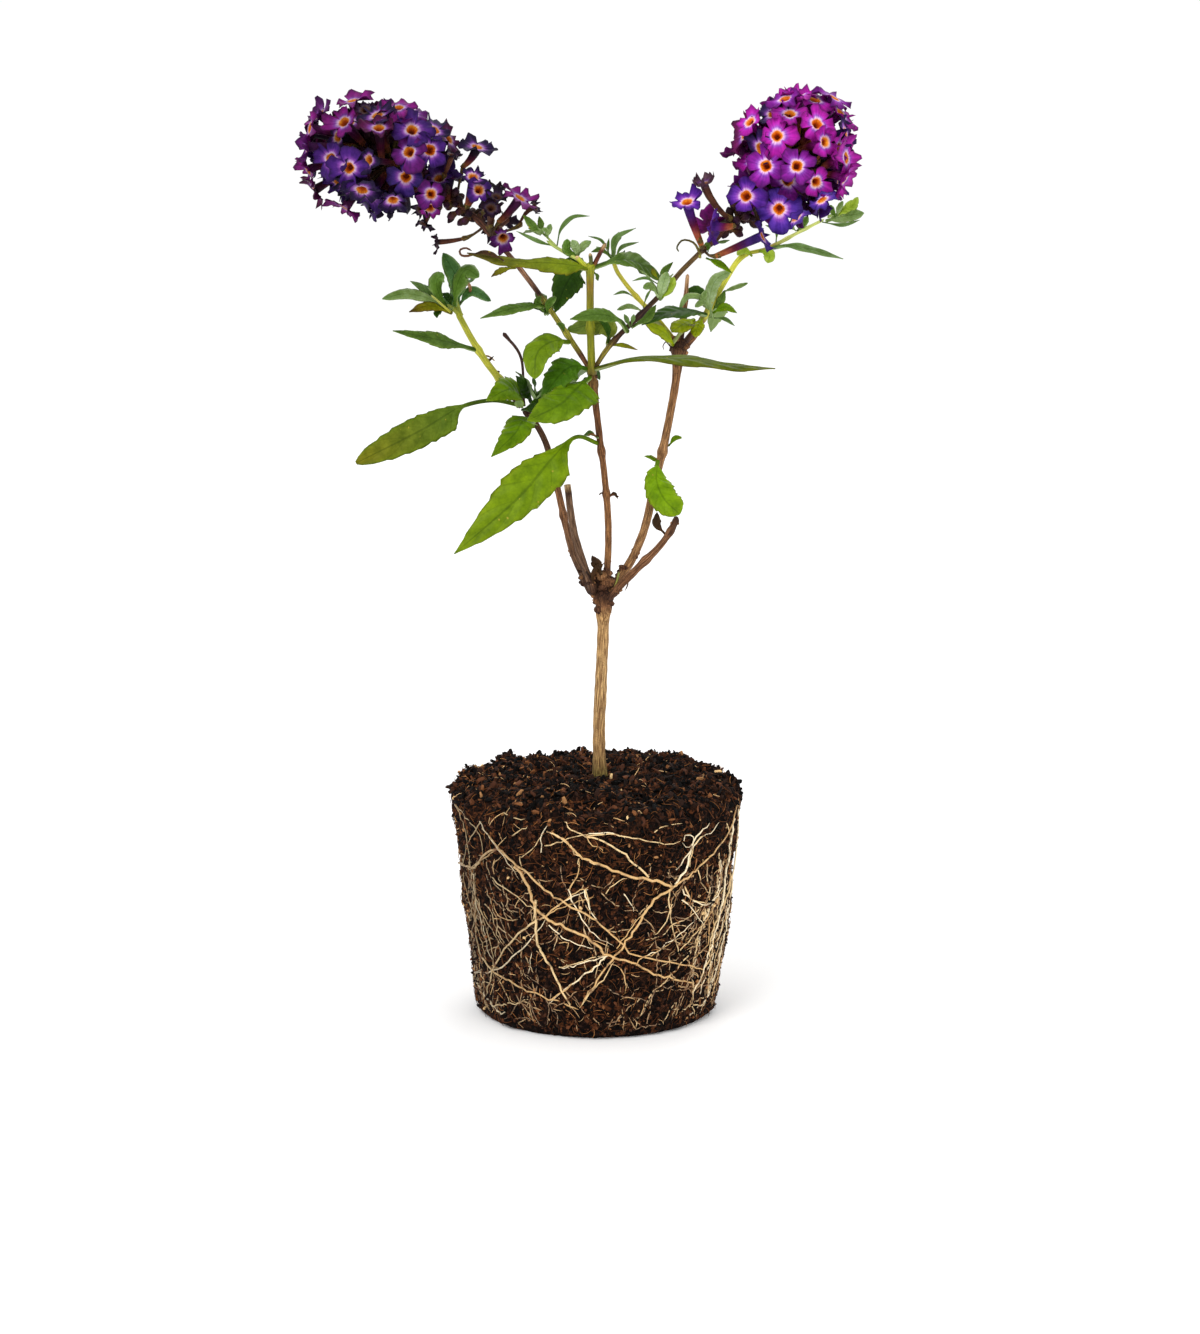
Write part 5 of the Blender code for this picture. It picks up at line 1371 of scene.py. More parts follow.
# %% Leaf clusters
CLUSTERS = {
    "left_tip_leaves": (14.0, (452, 309), 4, "blue", (
        ("blue", 9.5, 14.4, 12.0, 458, 304, 457, 280, 443, 253),
        ("cup", 9.0, 13.2, 8.0, 455, 306, 457, 286, 466, 270, 479, 277),
        ("cup", 7.5, 13.6, 9.0, 446, 307, 438, 292, 437, 280, 444, 275),
        ("slim", 3.6, 13.6, 11.0, 440, 303, 424, 289, 410, 281),
        ("pale", 5.6, 13.4, 8.0, 444, 307, 424, 297, 404, 294, 382, 299),
        ("torn", 6.0, 13.4, 9.0, 452, 313, 430, 306, 409, 312),
        ("dark", 3.4, 13.6, 11.0, 444, 309, 437, 313, 437, 318),
        ("blue", 5.4, 14.6, 15.6, 459, 305, 472, 291, 491, 301),
        ("dark", 4.0, 14.6, 17.0, 452, 306, 448, 297, 442, 293),
    )),
    "inner_tip_leaves": (3.6, (613, 258), 2, "slim", (
        ("slim", 1.6, 3.0, 0.6, 610, 257, 602, 241, 588, 236),
        ("slim", 3.4, 2.8, 1.4, 612, 259, 613, 246, 618, 236, 636, 228),
        ("slim", 2.2, 3.0, 4.4, 615, 259, 622, 247, 639, 242),
        ("dusky", 3.0, 2.8, 2.0, 612, 259, 602, 250, 591, 252),
        ("dark", 2.0, 3.4, 4.4, 616, 258, 622, 255, 625, 250),
        ("dusky", 1.6, 3.4, 4.4, 609, 254, 608, 246, 609, 238),
    )),
    "upper_left_tip_leaves": (-4.0, (541, 234), 2, "dusky", (
        ("slim", 2.6, -3.8, -5.0, 557, 246, 561, 229, 573, 217, 590, 216),
        ("slim", 2.2, -4.0, -7.0, 556, 247, 538, 241, 516, 231),
        ("dusky", 4.6, -3.8, -5.6, 541, 233, 533, 226, 523, 215),
        ("dusky", 3.4, -3.6, -2.6, 542, 233, 541, 225, 539, 216),
        ("pale", 2.8, -3.8, -4.6, 544, 235, 540, 231, 528, 228),
        ("pale", 3.4, -3.8, -5.2, 545, 236, 548, 231, 551, 224),
        ("pale", 3.0, -4.0, -5.6, 548, 238, 547, 231, 542, 229),
        ("cup", 5.2, -6.0, -7.6, 577, 256, 568, 250, 567, 239),
        ("silver", 4.6, -6.0, -8.0, 577, 256, 576, 248, 572, 240),
        ("pale", 4.2, -6.0, -5.0, 578, 256, 583, 246, 591, 241),
    )),
    "right_twig_leaves": (18.4, (838, 216), 2, "lime", (
        ("pale", 6.4, 17.8, 19.6, 826, 221, 845, 216, 864, 213),
        ("slim", 2.2, 17.6, 17.0, 822, 222, 842, 225, 860, 220),
        ("cup", 3.2, 18.0, 17.0, 835, 217, 833, 211, 830, 205),
        ("pale", 3.0, 18.2, 18.0, 837, 216, 839, 208, 843, 201),
        ("lime", 4.6, 18.4, 18.6, 838, 215, 847, 208, 853, 200),
        ("lime", 4.0, 18.4, 18.0, 842, 211, 852, 206, 858, 197),
        ("lime", 3.6, 18.6, 20.0, 842, 211, 850, 209, 858, 205),
        ("cup", 3.6, 17.2, 16.0, 797, 231, 803, 224, 808, 216),
        ("pale", 2.4, 17.2, 18.0, 796, 231, 791, 226, 787, 222),
        ("slim", 2.4, 16.4, 15.0, 776, 243, 776, 230, 765, 225),
        ("lime", 6.0, 15.4, 13.0, 760, 251, 769, 254, 768, 263),
        ("lime", 4.0, 15.2, 13.6, 752, 256, 744, 250, 737, 255),
    )),
    "left_fork_leaves": (-3.0, (546, 314), 2, "dusky", (
        ("dusky", 4.2, -3.2, -5.6, 545, 313, 538, 303, 541, 296),
        ("cup", 4.6, -3.2, -6.0, 547, 313, 549, 303, 556, 297),
        ("dark", 2.6, -3.0, -5.0, 543, 312, 532, 305, 520, 304),
        ("dusky", 3.4, -4.4, -6.0, 564, 333, 562, 326, 556, 324),
        ("slim", 2.0, -4.4, -3.0, 566, 335, 570, 328, 575, 325),
    )),
    "right_bud_leaves": (-10.8, (660, 297), 2, "pale", (
        ("silver", 5.8, -11.0, -13.6, 660, 300, 663, 285, 667, 272),
        ("lime", 5.2, -11.0, -12.0, 661, 299, 669, 288, 674, 277),
        ("pale", 4.0, -11.0, -12.4, 659, 294, 651, 286, 643, 288),
        ("dusky", 3.6, -10.8, -9.6, 660, 285, 664, 272, 673, 262),
        ("slim", 1.8, -10.8, -11.8, 658, 284, 646, 278, 632, 281),
        ("old", 2.6, -10.8, -9.8, 659, 280, 654, 273, 652, 268),
    )),
    "right_knot_leaves": (11.0, (672, 343), 2, "old", (
        ("sunny", 6.4, 11.0, 3.0, 673, 345, 664, 333, 646, 324),
        ("sunny", 9.0, 12.0, 5.0, 694, 320, 684, 324, 672, 332),
        ("sunny", 6.6, 12.6, 7.0, 702, 319, 698, 326, 695, 337),
        ("old", 3.0, 10.6, 8.0, 664, 338, 655, 331, 645, 324),
    )),
    "right_shoot_leaves": (13.8, (711, 313), 1, "fresh", (
        ("silver", 6.6, 13.4, 9.6, 711, 317, 710, 297, 716, 280, 731, 271),
        ("pale", 3.2, 13.6, 10.0, 709, 305, 700, 297, 687, 297, 679, 310),
        ("dark", 5.4, 14.2, 16.6, 709, 303, 698, 291, 684, 291),
        ("pale", 4.0, 13.2, 10.4, 710, 312, 704, 302, 695, 307),
        ("pale", 3.6, 13.4, 11.0, 711, 312, 704, 300, 706, 290),
        ("dusky", 4.2, 13.6, 12.4, 712, 310, 720, 302, 725, 290),
        ("fresh", 4.4, 13.4, 10.4, 713, 313, 725, 307, 737, 313),
        ("slim", 2.2, 13.4, 11.0, 714, 318, 725, 319, 735, 326),
        ("pale", 2.8, 14.0, 13.0, 723, 292, 736, 287, 748, 283),
    )),
    "centre_inner_leaves": (6.0, (536, 398), 4, "dark", (
        ("dark", 7.4, 10.4, 2.6, 531, 402, 525, 388, 516, 376),
        ("shade", 7.0, 10.4, 2.4, 528, 408, 541, 396, 556, 378),
        ("dark", 4.6, 9.8, 4.6, 522, 410, 533, 407, 543, 400),
        ("dark", 3.6, -4.6, -1.0, 590, 376, 584, 382, 577, 386),
        ("dark", 3.4, -5.0, -2.0, 594, 368, 598, 374, 600, 380),
    )),
}
CLUSTER_FACE, BACK_FACE = (0.0, -0.9, 0.43), (0.0, 0.35, 0.94)
SMALL_STALK, BACK_STALK = 0.12, 0.14
SMALL_ROWS, SMALL_CELLS = 22, 6
BACK_ROWS, BACK_CELLS = 16, 4
OTHER_SMALL = (
    ("dusky", 5.6, -8.0, -4.0, 632, 327, 646, 318, 656, 305),
    ("pale", 3.0, 8.4, 5.0, 642, 311, 630, 306, 617, 310),
    ("slim", 1.8, 9.6, 8.0, 634, 297, 624, 292, 613, 295),
    ("slim", 1.4, 8.6, 6.6, 643, 308, 647, 296, 652, 288),
    ("slim", 2.6, -9.6, -11.0, 630, 327, 627, 320, 624, 314),
    ("slim", 2.4, -9.6, -10.0, 631, 326, 633, 319, 634, 314),
    ("fresh", 3.6, -12.0, -13.6, 706, 258, 720, 264, 732, 273),
    ("slim", 2.0, -12.0, -12.4, 714, 242, 722, 242, 730, 240),
    ("cup", 2.6, -12.2, -13.0, 708, 252, 708, 246, 705, 243),
    ("old", 2.4, -6.4, -9.0, 606, 346, 622, 345, 638, 350),
    ("dusky", 2.4, -9.0, -7.6, 594, 272, 597, 276, 598, 281),
    ("dark", 3.4, -7.4, -5.0, 586, 266, 578, 264, 570, 269),
    ("dusky", 2.6, -8.6, -8.0, 548, 264, 540, 261, 547, 257),
    ("dusky", 3.0, -5.4, -2.0, 598, 438, 590, 433, 583, 436),
    ("fresh", 2.6, 9.0, 7.0, 669, 446, 675, 438, 682, 437),
    ("fresh", 2.4, 8.4, 6.0, 660, 463, 652, 458, 644, 456),
    ("dry", 2.6, -11.4, -9.0, 504, 261, 496, 256, 485, 252, 473, 254),
    ("torn", 3.4, -11.0, -9.6, 516, 268, 506, 269, 498, 272, 491, 277),
    ("dry", 4.6, -4.4, -5.2, 665, 534, 657, 524, 657, 512),
    ("dark", 3.4, -7.0, -6.0, 608, 343, 608, 330, 603, 322, 595, 318),
    ("dry", 1.8, -2.6, -4.6, 607, 499, 614, 493, 618, 499),
    ("dry", 2.6, -1.4, -4.4, 597, 588, 592, 578, 598, 566, 602, 572),
    ("dry", 1.6, 14.2, 12.8, 479, 357, 488, 360, 494, 356),
)
FACE_SPREAD = 0.2
FAN_FROM, FAN_OVER, BACK_RISE, BACK_REACH = 0.05, 0.9, (-0.5, 0.7), (0.9, 1.05)
BACK_MIDDLE, BACK_ARCH, BACK_WIDTH = 0.55, 0.12, (0.26, 0.42)
CLUSTER_SEEDS, BACK_SEEDS, OTHER_SEEDS = 100, 1000, 5000
small_leaves = Basket("small_leaves")


def lay_small(row, seed):
    """One small leaf drawn by its pixels."""
    look, half, depth_from, depth_to, *numbers = row
    places = line_seen(numbers, depth_from, depth_to)
    scale = (places[0] - CAMERA_PLACE).length / FOCAL_PIXELS
    draw = random.Random(seed)
    face = Vector(CLUSTER_FACE) + Vector([draw.uniform(-FACE_SPREAD, FACE_SPREAD) for _ in range(3)])
    lay_leaf(small_leaves, places, 2.0 * half * scale, SMALL_STALK, face, LOOKS[look], SMALL_ROWS,
             SMALL_CELLS, seed)


def lay_back_leaves(node, depth, pixel, count, look, seed):
    """Young leaves from the cluster's node to the back and sides of its CAD mass."""
    draw = random.Random(seed)
    foot = seen_at(*pixel, depth)
    low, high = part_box(node)
    heart, half = (low + high) / 2, (high - low) / 2
    for index in range(count):
        spin = math.pi * (FAN_FROM + FAN_OVER * (index + draw.random()) / count)
        rise = draw.uniform(*BACK_RISE) * half.z
        away = Vector((math.cos(spin) * half.x, math.sin(spin) * half.y, rise))
        tip = heart + away * draw.uniform(*BACK_REACH)
        middle = foot.lerp(tip, BACK_MIDDLE) + Vector((0.0, 0.0, BACK_ARCH * (tip - foot).length))
        width = (tip - foot).length * draw.uniform(*BACK_WIDTH)
        lay_leaf(small_leaves, [foot, middle, tip], width, BACK_STALK, BACK_FACE, LOOKS[look],
                 BACK_ROWS, BACK_CELLS, seed + index)


for number, (node, (depth, pixel, extra, look, smalls)) in enumerate(CLUSTERS.items()):
    for index, row in enumerate(smalls):
        lay_small(row, CLUSTER_SEEDS * number + index)
    lay_back_leaves(node, depth, pixel, extra, look, BACK_SEEDS + CLUSTER_SEEDS * number)
for index, row in enumerate(OTHER_SMALL):
    lay_small(row, OTHER_SEEDS + index)
hand_over(small_leaves.piece(LEAF_TOP, LEAF_UNDER), "leaf", *CLUSTERS)

# %% [markdown]
# A flower head is a spike of small tubes on short stalks. Each tube opens into four ragged, crinkled
# lobes round a square orange throat with a white halo. A floret is one closed shape: rings go up the
# outside of the tube, out under the lobes, over their edge, back to the throat and down inside it. Each
# ring has its tone: a colour of its own, or a number that stands for so much of the floret's colour.

# %% Florets
FLORET_SIDES = 40
TURN = np.linspace(0.0, math.tau, FLORET_SIDES, endpoint=False)
LOBES = 4
SCALLOPS, SCALLOP_DEPTH = (3, 7, 11), 0.3
LOBE_REACH, THROAT_REACH, TUBE_LENGTH = 4.2 * MM, 1.0 * MM, 8.4 * MM
LOBE_HALF_THICK = 0.06 * MM
NOTCH, FULLNESS, LEAST_BEND = 0.48, 0.26, 0.05
LOBE_FOLD, THROAT_SQUARE = 0.35, 0.07
TUBE_RINGS = ((1.0, 0.62), (0.8, 0.72), (0.55, 0.84), (0.3, 0.96), (0.12, 1.04), (0.03, 1.04))
UNDER_SHARES, UPPER_SHARES = (0.12, 0.36, 0.62, 0.86, 1.0), (0.97, 0.82, 0.62, 0.42, 0.25, 0.12, 0.04)
THROAT_RINGS = ((0.08, 0.98), (0.3, 0.84), (0.7, 0.62), (1.5, 0.38))
MAGENTA, PURPLE, VIOLET = (172, 24, 154), (130, 22, 138), (92, 36, 146)
BLUE_VIOLET, DEEP, WINE = (78, 42, 142), (48, 16, 82), (112, 12, 84)
DEAD = (30, 14, 26)
HALO, LILAC, RIM = (244, 214, 240), (166, 92, 192), (252, 208, 128)
ORANGE, EMBER, PIT = (248, 158, 36), (226, 108, 16), (150, 54, 10)
MAROON, RED_TUBE, TUBE_FOOT, DEAD_TUBE = (98, 12, 62), (150, 20, 50), (204, 138, 62), (96, 58, 36)
TUBE_STOPS, TUBE_TONES = (0.0, 0.25, 0.5, 0.72, 0.9), (0.7, 0.6, MAROON, RED_TUBE, TUBE_FOOT)
UNDER_STOPS, UNDER_TONES = (0.0, 0.5), (MAROON, 0.7)
LOBE_STOPS, LOBE_TONES = (0.0, 0.08, 0.24, 0.46, 0.8, 1.0), (RIM, HALO, LILAC, 1.25, 0.9, 0.4)
THROAT_TONES = (ORANGE, ORANGE, EMBER, PIT)
HALO_LIT, THROAT_LIT = 0.1, 0.2
LOBE_LENGTHS, LOBE_BENDS, TEAR = (0.78, 1.12), (-0.45, 0.5), 0.3
FINE_WAVES, FINE_CRINKLE, WIDE_WAVES, WIDE_CRINKLE = 11, 0.5, 5, 0.6
Bloom = namedtuple("Bloom", "size bend crinkle ragged dead")
BLOOMS = {
    "open": Bloom(1.0, 0.2, 0.85, 0.13, 0.0), "cup": Bloom(0.95, 0.85, 0.7, 0.14, 0.0),
    "back": Bloom(0.9, -0.55, 0.7, 0.14, 0.0), "small": Bloom(0.75, 0.5, 0.7, 0.14, 0.0),
    "torn": Bloom(0.92, 0.6, 1.0, 0.24, 0.15), "dead": Bloom(0.55, 1.1, 1.1, 0.3, 1.0),
    "faded": Bloom(0.8, 0.8, 1.2, 0.2, 0.3), "husk": Bloom(0.8, 1.7, 0.9, 0.24, 0.7),
}


def shaded(colours, tint, glow=1.0):
    """Linear colours from a list of screen colours; a number stands for that much of the tint."""
    tint = np.array(srgb(*tint)) * glow
    return np.array([tint * colour if isinstance(colour, float) else srgb(*colour) for colour in colours])


def floret_rings(bloom, size, length, draw):
    """Radii and heights of the rings, from the tube's foot over the lobes and down into the throat."""
    which = np.round(TURN * LOBES / math.tau).astype(int) % LOBES
    tips = np.array([draw.uniform(*LOBE_LENGTHS) for _ in range(LOBES)])[which]
    scallop = sum(SCALLOP_DEPTH * np.sin(TURN * waves + draw.uniform(0.0, math.tau)) for waves in SCALLOPS)
    ragged = 1.0 + bloom.ragged * (scallop + np.array([draw.uniform(-TEAR, TEAR) for _ in TURN]))
    lobe = np.abs(np.cos(TURN * LOBES / 2))
    reach = size * LOBE_REACH * (NOTCH + (1.0 - NOTCH) * lobe ** FULLNESS) * tips * ragged - THROAT_REACH
    bend = (bloom.bend + np.array([draw.uniform(*LOBE_BENDS) for _ in range(LOBES)]))[which]
    bend = np.where(np.abs(bend) < LEAST_BEND, LEAST_BEND, bend)
    wave = draw.uniform(0.0, math.tau)
    fine, wide = np.sin(TURN * FINE_WAVES + wave), np.sin(TURN * WIDE_WAVES - wave)
    crinkle = bloom.crinkle * size * MM * (fine * FINE_CRINKLE + wide * WIDE_CRINKLE)
    fold = -LOBE_FOLD * size * MM * (lobe ** 2)
    square = 1.0 + THROAT_SQUARE * np.cos(TURN * LOBES)
    flat = np.ones(FLORET_SIDES)
    rings = [(flat * (width * size * MM), flat * (-share * length)) for share, width in TUBE_RINGS]
    for shares, side in ((UNDER_SHARES, -1.0), (UPPER_SHARES, 1.0)):
        for share in shares:
            out = THROAT_REACH + reach * np.sin(bend * share) / bend
            up = reach * (1.0 - np.cos(bend * share)) / bend + (crinkle + fold) * share ** 2
            rings.append((out, up + side * (share < 1.0) * LOBE_HALF_THICK))
    rings += [(width * MM * square * size, flat * (-depth * MM)) for depth, width in THROAT_RINGS]
    return np.array([radii for radii, _ in rings]), np.array([heights for _, heights in rings])


def floret_colours(bloom, tint, glow):
    """One linear colour for each ring, in the same order."""
    tube_shares = np.array([share for share, _ in TUBE_RINGS])[::-1]
    tube = blend(tube_shares, TUBE_STOPS, shaded(TUBE_TONES, tint, glow))[::-1] * min(1.0, glow)
    upper = shaded(LOBE_TONES, tint, glow)
    upper[:3] *= min(1.0, glow + HALO_LIT)
    colours = np.vstack([
        tube, blend(UNDER_SHARES, UNDER_STOPS, shaded(UNDER_TONES, tint, glow)),
        blend(UPPER_SHARES, LOBE_STOPS, upper), shaded(THROAT_TONES, tint) * min(1.0, glow + THROAT_LIT)])
    dead = np.array(srgb(*DEAD))
    colours = colours * (1.0 - bloom.dead) + bloom.dead * (dead * 0.8 + colours * 0.12)
    if bloom.dead > 0.5:
        colours[:len(TUBE_RINGS) - 1] = srgb(*DEAD_TUBE)
    return colours


def lay_floret(basket, mouth, foot, aim, bloom, tint, glow, draw):
    """One floret with its mouth and its foot at the given places, looking along aim."""
    length = (Vector(mouth) - Vector(foot)).length
    radii, heights = floret_rings(bloom, bloom.size * draw.uniform(0.92, 1.08), length, draw)
    forward = Vector(aim).normalized()
    side = forward.orthogonal().normalized()
    side.rotate(Quaternion(forward, draw.uniform(0.0, math.tau)))
    lift = forward.cross(side)
    spread = column(np.cos(TURN)) * np.array(side) + column(np.sin(TURN)) * np.array(lift)
    points = np.array(mouth) + radii[..., None] * spread + heights[..., None] * np.array(forward)
    sway = np.array(foot) - (np.array(mouth) - np.array(forward) * length)
    points += sway * (np.clip(-heights / length, 0.0, 1.0) ** 2)[..., None]
    tints = np.repeat(floret_colours(bloom, tint, glow) * draw.uniform(0.85, 1.15), FLORET_SIDES, axis=0)
    petal = np.empty(points.shape)
    petal[..., 0], petal[..., 1], petal[..., 2] = np.cos(TURN), np.sin(TURN), draw.uniform(0.0, 90.0)
    basket.add(points, tube_faces(len(radii), FLORET_SIDES), tint=tints, petal=petal.reshape(-1, 3))


def petal_finish():
    """Velvet lobes with fine streaks that run out from the throat."""
    material, tree, shader = new_finish("petals", 0.6)
    streak = stretched(tree, noise_of(tree, note(tree, "petal", "Vector"), 0.16, 3.0), 0.3, 0.7)
    cloud = stretched(tree, noise_of(tree, object_place(tree), 1.3 * MM, 2.0), 0.35, 0.65)
    tint = note(tree, "tint")
    streaked = mixed(tree, streak, mixed(tree, 1.0, tint, srgb(204, 186, 218), "MULTIPLY"), tint)
    colour = mixed(tree, cloud, streaked, mixed(tree, 0.7, streaked, srgb(96, 80, 110), "SOFT_LIGHT"))
    dress(tree, shader, colour, 0.12, streak, 0.05 * MM)
    return material


PETALS = petal_finish()

# %% [markdown]
# The florets that the photograph shows are placed by their pixels on the surface of the CAD masses, each
# with the way it looks. The rest of every head is filled by a seeded rule: a floret wherever there is
# room for one, looking away from the spike that carries them all. Dark buds fill the inside, as buds and
# as painted shade in the heart of the head. A spot gives the pixel of the floret's mouth, its aim, its
# bloom, its colour and, where it shows, its foot.

# %% Flower heads
Spot = namedtuple("Spot", "px py aim bloom tint foot", defaults=(None,))
Spike = namedtuple("Spike", "name head tail glow tail_room axis spots tints")
LEFT_AXIS = (
    (-21.4, 1.7, 156.2), (-25.2, 3.0, 160.1), (-33.0, 3.4, 165.0), (-42.0, 4.0, 170.6), (-51.0, 4.2, 175.4),
)
LEFT_SPOTS = (
    (344, 122, (-0.4, -0.7, 0.55), "cup", MAGENTA), (379, 128, (0.0, -0.6, 0.8), "cup", WINE),
    (412, 130, (0.15, -0.8, 0.55), "open", VIOLET), (409, 152, (-0.2, -0.9, 0.3), "open", PURPLE),
    (430, 150, (0.25, -0.95, 0.15), "open", VIOLET), (331, 159, (-0.5, -0.85, 0.1), "open", VIOLET),
    (349, 168, (-0.2, -0.95, -0.05), "open", VIOLET), (369, 160, (-0.65, -0.7, 0.1), "small", DEEP),
    (406, 177, (-0.05, -1.0, -0.05), "open", BLUE_VIOLET), (393, 200, (0.05, -0.7, -0.7), "cup", DEEP),
    (431, 194, (0.2, -0.95, 0.1), "small", PURPLE), (430, 208, (0.1, -0.8, -0.5), "small", MAGENTA),
    (473, 177, (0.2, -0.6, 0.75), "small", DEEP), (479, 190, (0.3, -0.8, 0.4), "small", VIOLET),
    (503, 238, (0.1, -0.85, -0.35), "faded", PURPLE),
    (477, 147, (0.25, -0.3, 0.9), "torn", DEEP, (463, 167)),
    (535, 207, (0.9, -0.3, 0.3), "dead", DEEP, (519, 226)),
    (520, 198, (0.5, -0.25, 0.75), "torn", MAGENTA, (499, 222)), (452, 134, (0.8, -0.4, 0.5), "torn", WINE),
    (354, 97, (-0.2, -0.2, 0.95), "torn", MAGENTA), (318, 112, (-0.7, -0.2, 0.6), "torn", PURPLE),
    (310, 128, (-0.9, -0.3, 0.2), "open", MAGENTA), (307, 147, (-0.95, -0.25, 0.0), "cup", PURPLE),
    (308, 170, (-0.8, -0.35, -0.4), "torn", MAGENTA, (331, 164)),
    (315, 190, (-0.75, -0.2, -0.5), "torn", WINE, (336, 178)),
    (345, 208, (-0.5, -0.2, -0.8), "torn", MAGENTA, (364, 188)),
    (362, 190, (-0.1, -0.7, -0.7), "open", DEEP), (398, 108, (-0.1, -0.4, 0.9), "open", MAGENTA),
    (379, 112, (-0.2, -0.5, 0.8), "torn", DEEP), (412, 114, (0.2, -0.4, 0.9), "open", PURPLE),
    (434, 130, (0.4, -0.5, 0.75), "open", DEEP), (452, 155, (0.3, -0.2, 0.9), "dead", DEEP, (444, 176)),
    (424, 224, (-0.4, -0.4, -0.8), "dead", DEEP), (437, 242, (-0.95, -0.2, 0.0), "dead", WINE, (466, 238)),
    (497, 197, (0.2, -0.5, 0.8), "dead", DEEP), (491, 208, (0.1, -0.8, 0.6), "dead", WINE),
    (421, 210, (-0.4, -0.7, -0.5), "dead", DEEP),
)
RIGHT_AXIS = (
    (19.6, -11.3, 154.1), (24.5, -12.0, 158.6), (30.5, -11.4, 164.0), (36.0, -10.6, 170.6),
    (39.0, -10.0, 178.0),
)
RIGHT_SPOTS = (
    (777, 136, (-0.1, -0.95, 0.3), "open", MAGENTA), (817, 124, (0.3, -0.8, 0.5), "open", MAGENTA),
    (790, 114, (0.0, -0.6, 0.8), "open", MAGENTA), (825, 142, (0.6, -0.75, 0.2), "small", MAGENTA),
    (766, 166, (-0.2, -0.95, 0.15), "open", PURPLE), (797, 166, (0.05, -0.95, 0.2), "open", PURPLE),
    (746, 196, (-0.25, -0.9, 0.2), "open", VIOLET), (779, 209, (-0.15, -0.95, -0.1), "open", BLUE_VIOLET),
    (816, 182, (0.35, -0.8, -0.1), "small", MAGENTA), (757, 146, (-0.75, -0.5, -0.1), "torn", DEEP),
    (750, 122, (-0.5, -0.5, 0.6), "small", MAGENTA), (739, 131, (-0.9, -0.3, 0.3), "torn", WINE),
    (815, 100, (0.2, -0.4, 0.9), "open", MAGENTA), (845, 112, (0.7, -0.4, 0.6), "torn", MAGENTA),
    (850, 134, (0.9, -0.3, 0.2), "torn", DEEP), (846, 158, (0.85, -0.4, 0.1), "open", MAGENTA, (819, 171)),
    (845, 178, (0.8, -0.3, -0.4), "torn", MAGENTA, (822, 176)),
    (822, 200, (0.4, -0.5, -0.7), "small", BLUE_VIOLET), (785, 99, (-0.3, -0.4, 0.9), "open", PURPLE),
    (798, 94, (0.0, -0.2, 1.0), "open", MAGENTA), (834, 98, (0.5, -0.2, 0.9), "open", PURPLE),
    (770, 112, (-0.4, -0.5, 0.7), "torn", DEEP), (687, 202, (-0.2, -0.5, 0.85), "cup", VIOLET, (701, 244)),
    (712, 226, (-0.85, 0.25, 0.15), "back", VIOLET, (734, 226)),
    (704, 184, (-0.3, -0.2, 0.9), "husk", (150, 110, 120), (732, 221)),
    (762, 236, (0.85, -0.2, 0.4), "torn", BLUE_VIOLET, (716, 256)),
    (796, 218, (0.5, -0.4, -0.6), "small", BLUE_VIOLET),
    (838, 148, (0.8, -0.4, -0.2), "torn", MAGENTA, (816, 162)),
)
# glow scales the colours of a head's florets. On the right head, 1.1 is painted light that brightens florets
# turned from the lamps; on the left head, 0.53 darkens its colours.
SPIKES = (
    Spike("left_florets", "left_flower_head", "left_flower_tail", 0.53, 7.0, LEFT_AXIS, LEFT_SPOTS,
          (WINE, PURPLE, DEEP, VIOLET, DEEP)),
    Spike("right_florets", "right_flower_head", "right_flower_tail", 1.1, 9.0, RIGHT_AXIS, RIGHT_SPOTS,
          (MAGENTA, MAGENTA, MAGENTA, PURPLE, VIOLET)),
)
HEAD_ROOM = 4.7 * MM
HEAD_TRIES, TAIL_TRIES = 2400, 500
HEAD_DEAD, TAIL_DEAD = 0.05, 0.4
# The inner buds are dark: buds, and painted shade inside the head.
INNER_SHADE_BUDS, BUDS_FROM = 110, 9
BUD_SHARES, BUD_LENGTHS = (0.1, 0.4, 0.6, 1.0), (2.6, 4.6, 8.6, 8.0)
BUD_RADII = (0.25, 0.3, 0.36, 0.42, 0.62, 0.8, 0.66, 0.2)
BUD_TONES = ((124, 110, 54), (100, 68, 42), (62, 22, 56))
BUD_SIDES = 8
BUD_SIZES, BUD_LIGHT, BUD_REACH = (0.8, 1.1), (0.3, 1.1), (0.5, 1.0)
FILLERS = ("open", "cup", "torn", "torn", "cup", "small")
HEAD_DRAWN_IN, TAIL_DRAWN_IN, TORN_DRAWN_IN = (0.12, 0.3), 0.4, 0.1
BACK_FROM = 1.0 * MM
AXIS_STEPS = 40
AIM_AHEAD, AIM_SPREAD, DIMMEST, FIRST_SPIKE_SEED = 0.3, 0.25, 0.6, 70
LAST_TINT, TINT_DRIFT = 4, (-1.0, 1.5)
AXIS_FOOT, AXIS_TIP, AXIS_SIDES, AXIS_RIDGE, AXIS_KNOTS = 0.66, 0.4, 10, 0.06, (0.1, 0.35)
FOOT_OUT, FOOT_IN, BUDS_UNTIL = 0.6, 0.4, AXIS_STEPS - 4
AXIS_SKIN = ((0.0, (92, 62, 48)), (0.4, (86, 50, 44)), (1.0, (90, 80, 44)))
STALK_SKIN = ((0.0, (70, 44, 36)), (0.55, (84, 70, 36)), (0.75, (104, 98, 44)), (1.0, (112, 84, 44)))
STALK_SHAPE = (0.34, 0.26, 0.26, 0.46, 0.62, 0.66)
STALK_SIDES, STALK_RIDGE, STALK_BELOW, HIGHEST_SEED = 7, 0.12, 2, 90.0
KNEE_AT, KNEE_SAG, CALYX_SHARE = 0.6, 0.08, 0.2
LENGTH_POWER, ROOM_SHARE, FOOT_BACK = 0.3, 0.8, 0.15
stalks = Basket("flower_stalks")


def nearest_on(axis, place):
    """Index of the axis point nearest to a place."""
    return int(np.argmin(np.linalg.norm(axis - np.array(place), axis=1)))


